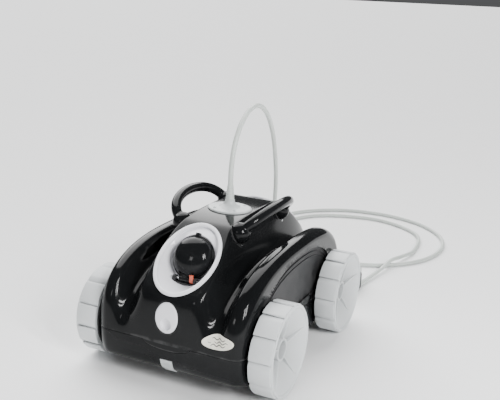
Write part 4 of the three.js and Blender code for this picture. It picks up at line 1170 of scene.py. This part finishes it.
def make_jets():
    bucket = bucket_solid()
    flap = flap_solid()
    y, z = HINGE[1:]
    half = CLIP_WIDTH / 2
    clip = (
        rod((CLIP_X - half, y, z), (CLIP_X + half, y, z), HINGE_DRUM - 0.1, 0.5, 32),
        block((CLIP_X - half, y - HINGE_DRUM + 0.1, z - 1.5), (CLIP_X + half, y - 1.2, z + CLIP_HEIGHT)),
    )
    pin_low, pin_high = box_mm("flap_pin_front")
    pin = rod((pin_low[0], y, z), (pin_high[0], y, z), 1.6, 0.5, 24)
    bore = rod((pin_low[0] - 1, y, z), (pin_high[0] + 1, y, z), 1.85, 0, 24)
    for end, facing in ENDS:
        finished(f"jet_bucket_{end}_bowl", at_end(bucket, facing), "gloss_white",
                 [f"jet_bucket_{end}"], sharp=50)
        hole = [at_end(bore, facing)]
        for name, node, slot, parts in (
            ("dome", f"jet_flap_{end}", "gloss_black", flap),
            ("grip", f"flap_clip_{end}", "clip_red", clip),
        ):
            piece = joined(f"{node}_{name}", [at_end(part, facing) for part in parts], hole)
            soften(piece, 0.4)
            dress(piece, slot, [node], f"jet_flap_{end}")
        finished(f"flap_pin_{end}_rod", at_end(pin, facing), "steel", [f"flap_pin_{end}"])


make_jets()


# ---- button, badge, gland ---------------------------------------------------
def dimple(a, b):
    """The finger dimple's depth, a round hollow with a soft lip."""
    away = np.hypot(a, b + DIMPLE_DROP) / DIMPLE_RADIUS
    return -DIMPLE_DEPTH * np.sqrt(np.clip(1 - away ** 2, 0, 1)) * ease(1 - away, 0, 0.12)


def make_buttons():
    levels = [(s, BUTTON_PROUD - 0.5 * s * s) for s in np.linspace(0.001, 0.9, 44)]
    levels += [(0.94, 1.2), (0.97, 0.9), (0.99, 0.4), (1.0, -0.2)]
    button = pad(front_skin, (0, BUTTON_Z), BUTTON_HALF, levels, base=-8.5, shape=dimple, sides=128)
    for end, facing in ENDS:
        node = f"release_button_{end}"
        finished(f"{node}_key", at_end(button, facing), "gloss_white", [node], node, sharp=50)


def make_badge():
    levels = [(s, 0.7) for s in (0.001, 0.3, 0.6, 0.88)]
    levels += [(0.9, 1.0), (0.93, 1.25), (0.97, 1.2), (0.99, 1.0), (1.0, 0.5)]
    plate = pad(front_skin, BADGE_AT, BADGE_HALF, levels, BADGE_TILT, base=-0.5)
    finished("badge_plate", plate, "badge_cream", ["badge"], sharp=50)
    ripples = []
    for row, half in ((-4.2, 13.0), (0.0, 17.0), (4.2, 13.0)):
        along = np.linspace(-half, half, 50)
        up = row + 1.3 * np.sin(along * 2 * math.pi / 11.0)
        a = BADGE_AT[0] + along * math.cos(BADGE_TILT) - up * math.sin(BADGE_TILT)
        b = BADGE_AT[1] + along * math.sin(BADGE_TILT) + up * math.cos(BADGE_TILT)
        path = off_skin(front_skin, a, b, np.full(len(a), 0.45))
        ripples.append(tube(path, 0.25 + 0.5 * np.sqrt(1 - (along / half) ** 2 + 1e-9), 10))
    dress(as_object("badge_ripples", together(*ripples)), "gloss_black", material=badge_ink)


def make_gland():
    levels = [(s, GLAND_THICKNESS - 0.1) for s in np.linspace(0.001, 0.9, 16)]
    levels += [(0.94, 3.0), (0.975, 2.4), (0.995, 1.5), (1.0, 0.6)]
    saddle = pad(top_skin, (0, GLAND_Y), GLAND_HALF, levels, base=-0.2)
    foot = SPINE_Z + GLAND_THICKNESS - 1.0
    profile = [(0, foot)]
    for i in range(21):
        share = i / 20
        radius = GLAND_TOP_RADIUS + (GLAND_BOSS - GLAND_TOP_RADIUS) * (1 - share) ** 2.4
        profile.append((radius, foot + (GLAND_TOP_Z - foot - 0.8) * share))
    profile += [(GLAND_TOP_RADIUS - 0.8, GLAND_TOP_Z), (0, GLAND_TOP_Z)]
    flare = moved(turned(profile, 72), Matrix.Translation((0, GLAND_Y, 0)))
    screw = turned([(0, -1), (2.6, -1), (2.6, 0.5), (2.1, 1.0), (1.0, 1.0), (1.0, 0.2), (0, 0.2)], 32)
    screw = moved(screw, Matrix.Translation((26, 0, 0)))
    screws = repeated(screw, 4, "light_grey", turn=math.pi / 2, first=math.pi / 4)
    screws = moved(screws, Matrix.Translation((0, GLAND_Y, SPINE_Z + GLAND_THICKNESS)))
    finished("gland_saddle", together(saddle, flare, screws), "light_grey", ["gland_plate"])


def make_handles():
    for name, side in SIDES:
        angles = np.linspace(0, math.pi, 60)
        rise = HANDLE_RISE * np.sin(angles) ** 0.8
        path = np.stack([
            side * (HANDLE_X + rise * math.sin(HANDLE_TILT)), -HANDLE_Y * np.cos(angles),
            HANDLE_Z + rise * math.cos(HANDLE_TILT),
        ], 1)
        grip = [tube(path, np.full(len(path), HANDLE_RADIUS), 32)]
        grip += [ball((side * HANDLE_X, y, HANDLE_Z), HANDLE_BALL, 64) for y in (-HANDLE_Y, HANDLE_Y)]
        piece = as_object(f"handle_{name}_grip", together(*grip))
        skin = piece.modifiers.new("skin", "REMESH")
        skin.mode = "VOXEL"
        skin.voxel_size = 1.1 * MM
        flow = piece.modifiers.new("flow", "SMOOTH")
        flow.factor = 0.5
        flow.iterations = 8
        settle(piece)
        dress(piece, "gloss_black", [f"handle_{name}"], sharp=80)


make_buttons()
make_badge()
make_gland()
make_handles()

# ---- carried-over CAD nodes -------------------------------------------------
NODE_SLOTS = {part["node"]: part["material_slot"] for part in frame["record"]["subparts"]}
for node, cad_piece in frame["nodes"].items():
    if cad_piece.hide_render:
        continue
    cad_piece.data.materials.clear()
    cad_piece.data.materials.append(FINISH[NODE_SLOTS[node]])


# ---- floor and light --------------------------------------------------------
def make_floor():
    size = 60.0
    mesh = bpy.data.meshes.new("floor")
    corners = [(-size, -size, 0), (size, -size, 0), (size, size, 0), (-size, size, 0)]
    mesh.from_pydata(corners, [], [(0, 1, 2, 3)])
    floor = linked("floor", mesh)
    material = bpy.data.materials.new("pale_floor")
    tree = fresh_tree(material)
    at = tree.node("ShaderNodeTexCoord", out="Object")
    shade = blend_colour(tree, noise(tree, at, 3.0, 4.0), (0.93, 0.935, 0.94, 1), (0.96, 0.96, 0.96, 1))
    shader = tree.node("ShaderNodeBsdfPrincipled", {"Base Color": shade, "Roughness": 0.7})
    tree.node("ShaderNodeOutputMaterial", {"Surface": shader})
    mesh.materials.append(material)


def softbox(name, place, aim, size, power):
    light = bpy.data.lights.new(name, "AREA")
    light.shape = "RECTANGLE"
    light.size, light.size_y = size
    light.energy = power
    lamp = linked(name, light)
    lamp.location = place
    lamp.rotation_euler = (Vector(aim) - Vector(place)).to_track_quat("-Z", "Y").to_euler()


def light_studio():
    world = bpy.data.worlds.new("studio")
    scene.world = world
    tree = fresh_tree(world)
    sky = tree.node("ShaderNodeBackground", {"Color": (0.95, 0.97, 1.0, 1.0), "Strength": 0.10})
    tree.node("ShaderNodeOutputWorld", {"Surface": sky})
    sun = bpy.data.lights.new("soft_overhead", "SUN")
    sun.angle = math.radians(70)
    sun.energy = 6.6
    overhead = linked("soft_overhead", sun)
    overhead.rotation_euler = (math.radians(-30), math.radians(-30), 0)
    aim = (0.0, 0.0, 0.1)
    softbox("front_fill", (-0.5, -2.6, 1.3), aim, (0.5, 0.5), 8)
    softbox("right_window_1", (1.55, -1.15, 1.25), aim, (0.12, 0.8), 30)
    softbox("right_window_2", (1.75, -0.8, 1.25), aim, (0.12, 0.8), 30)


make_floor()
light_studio()
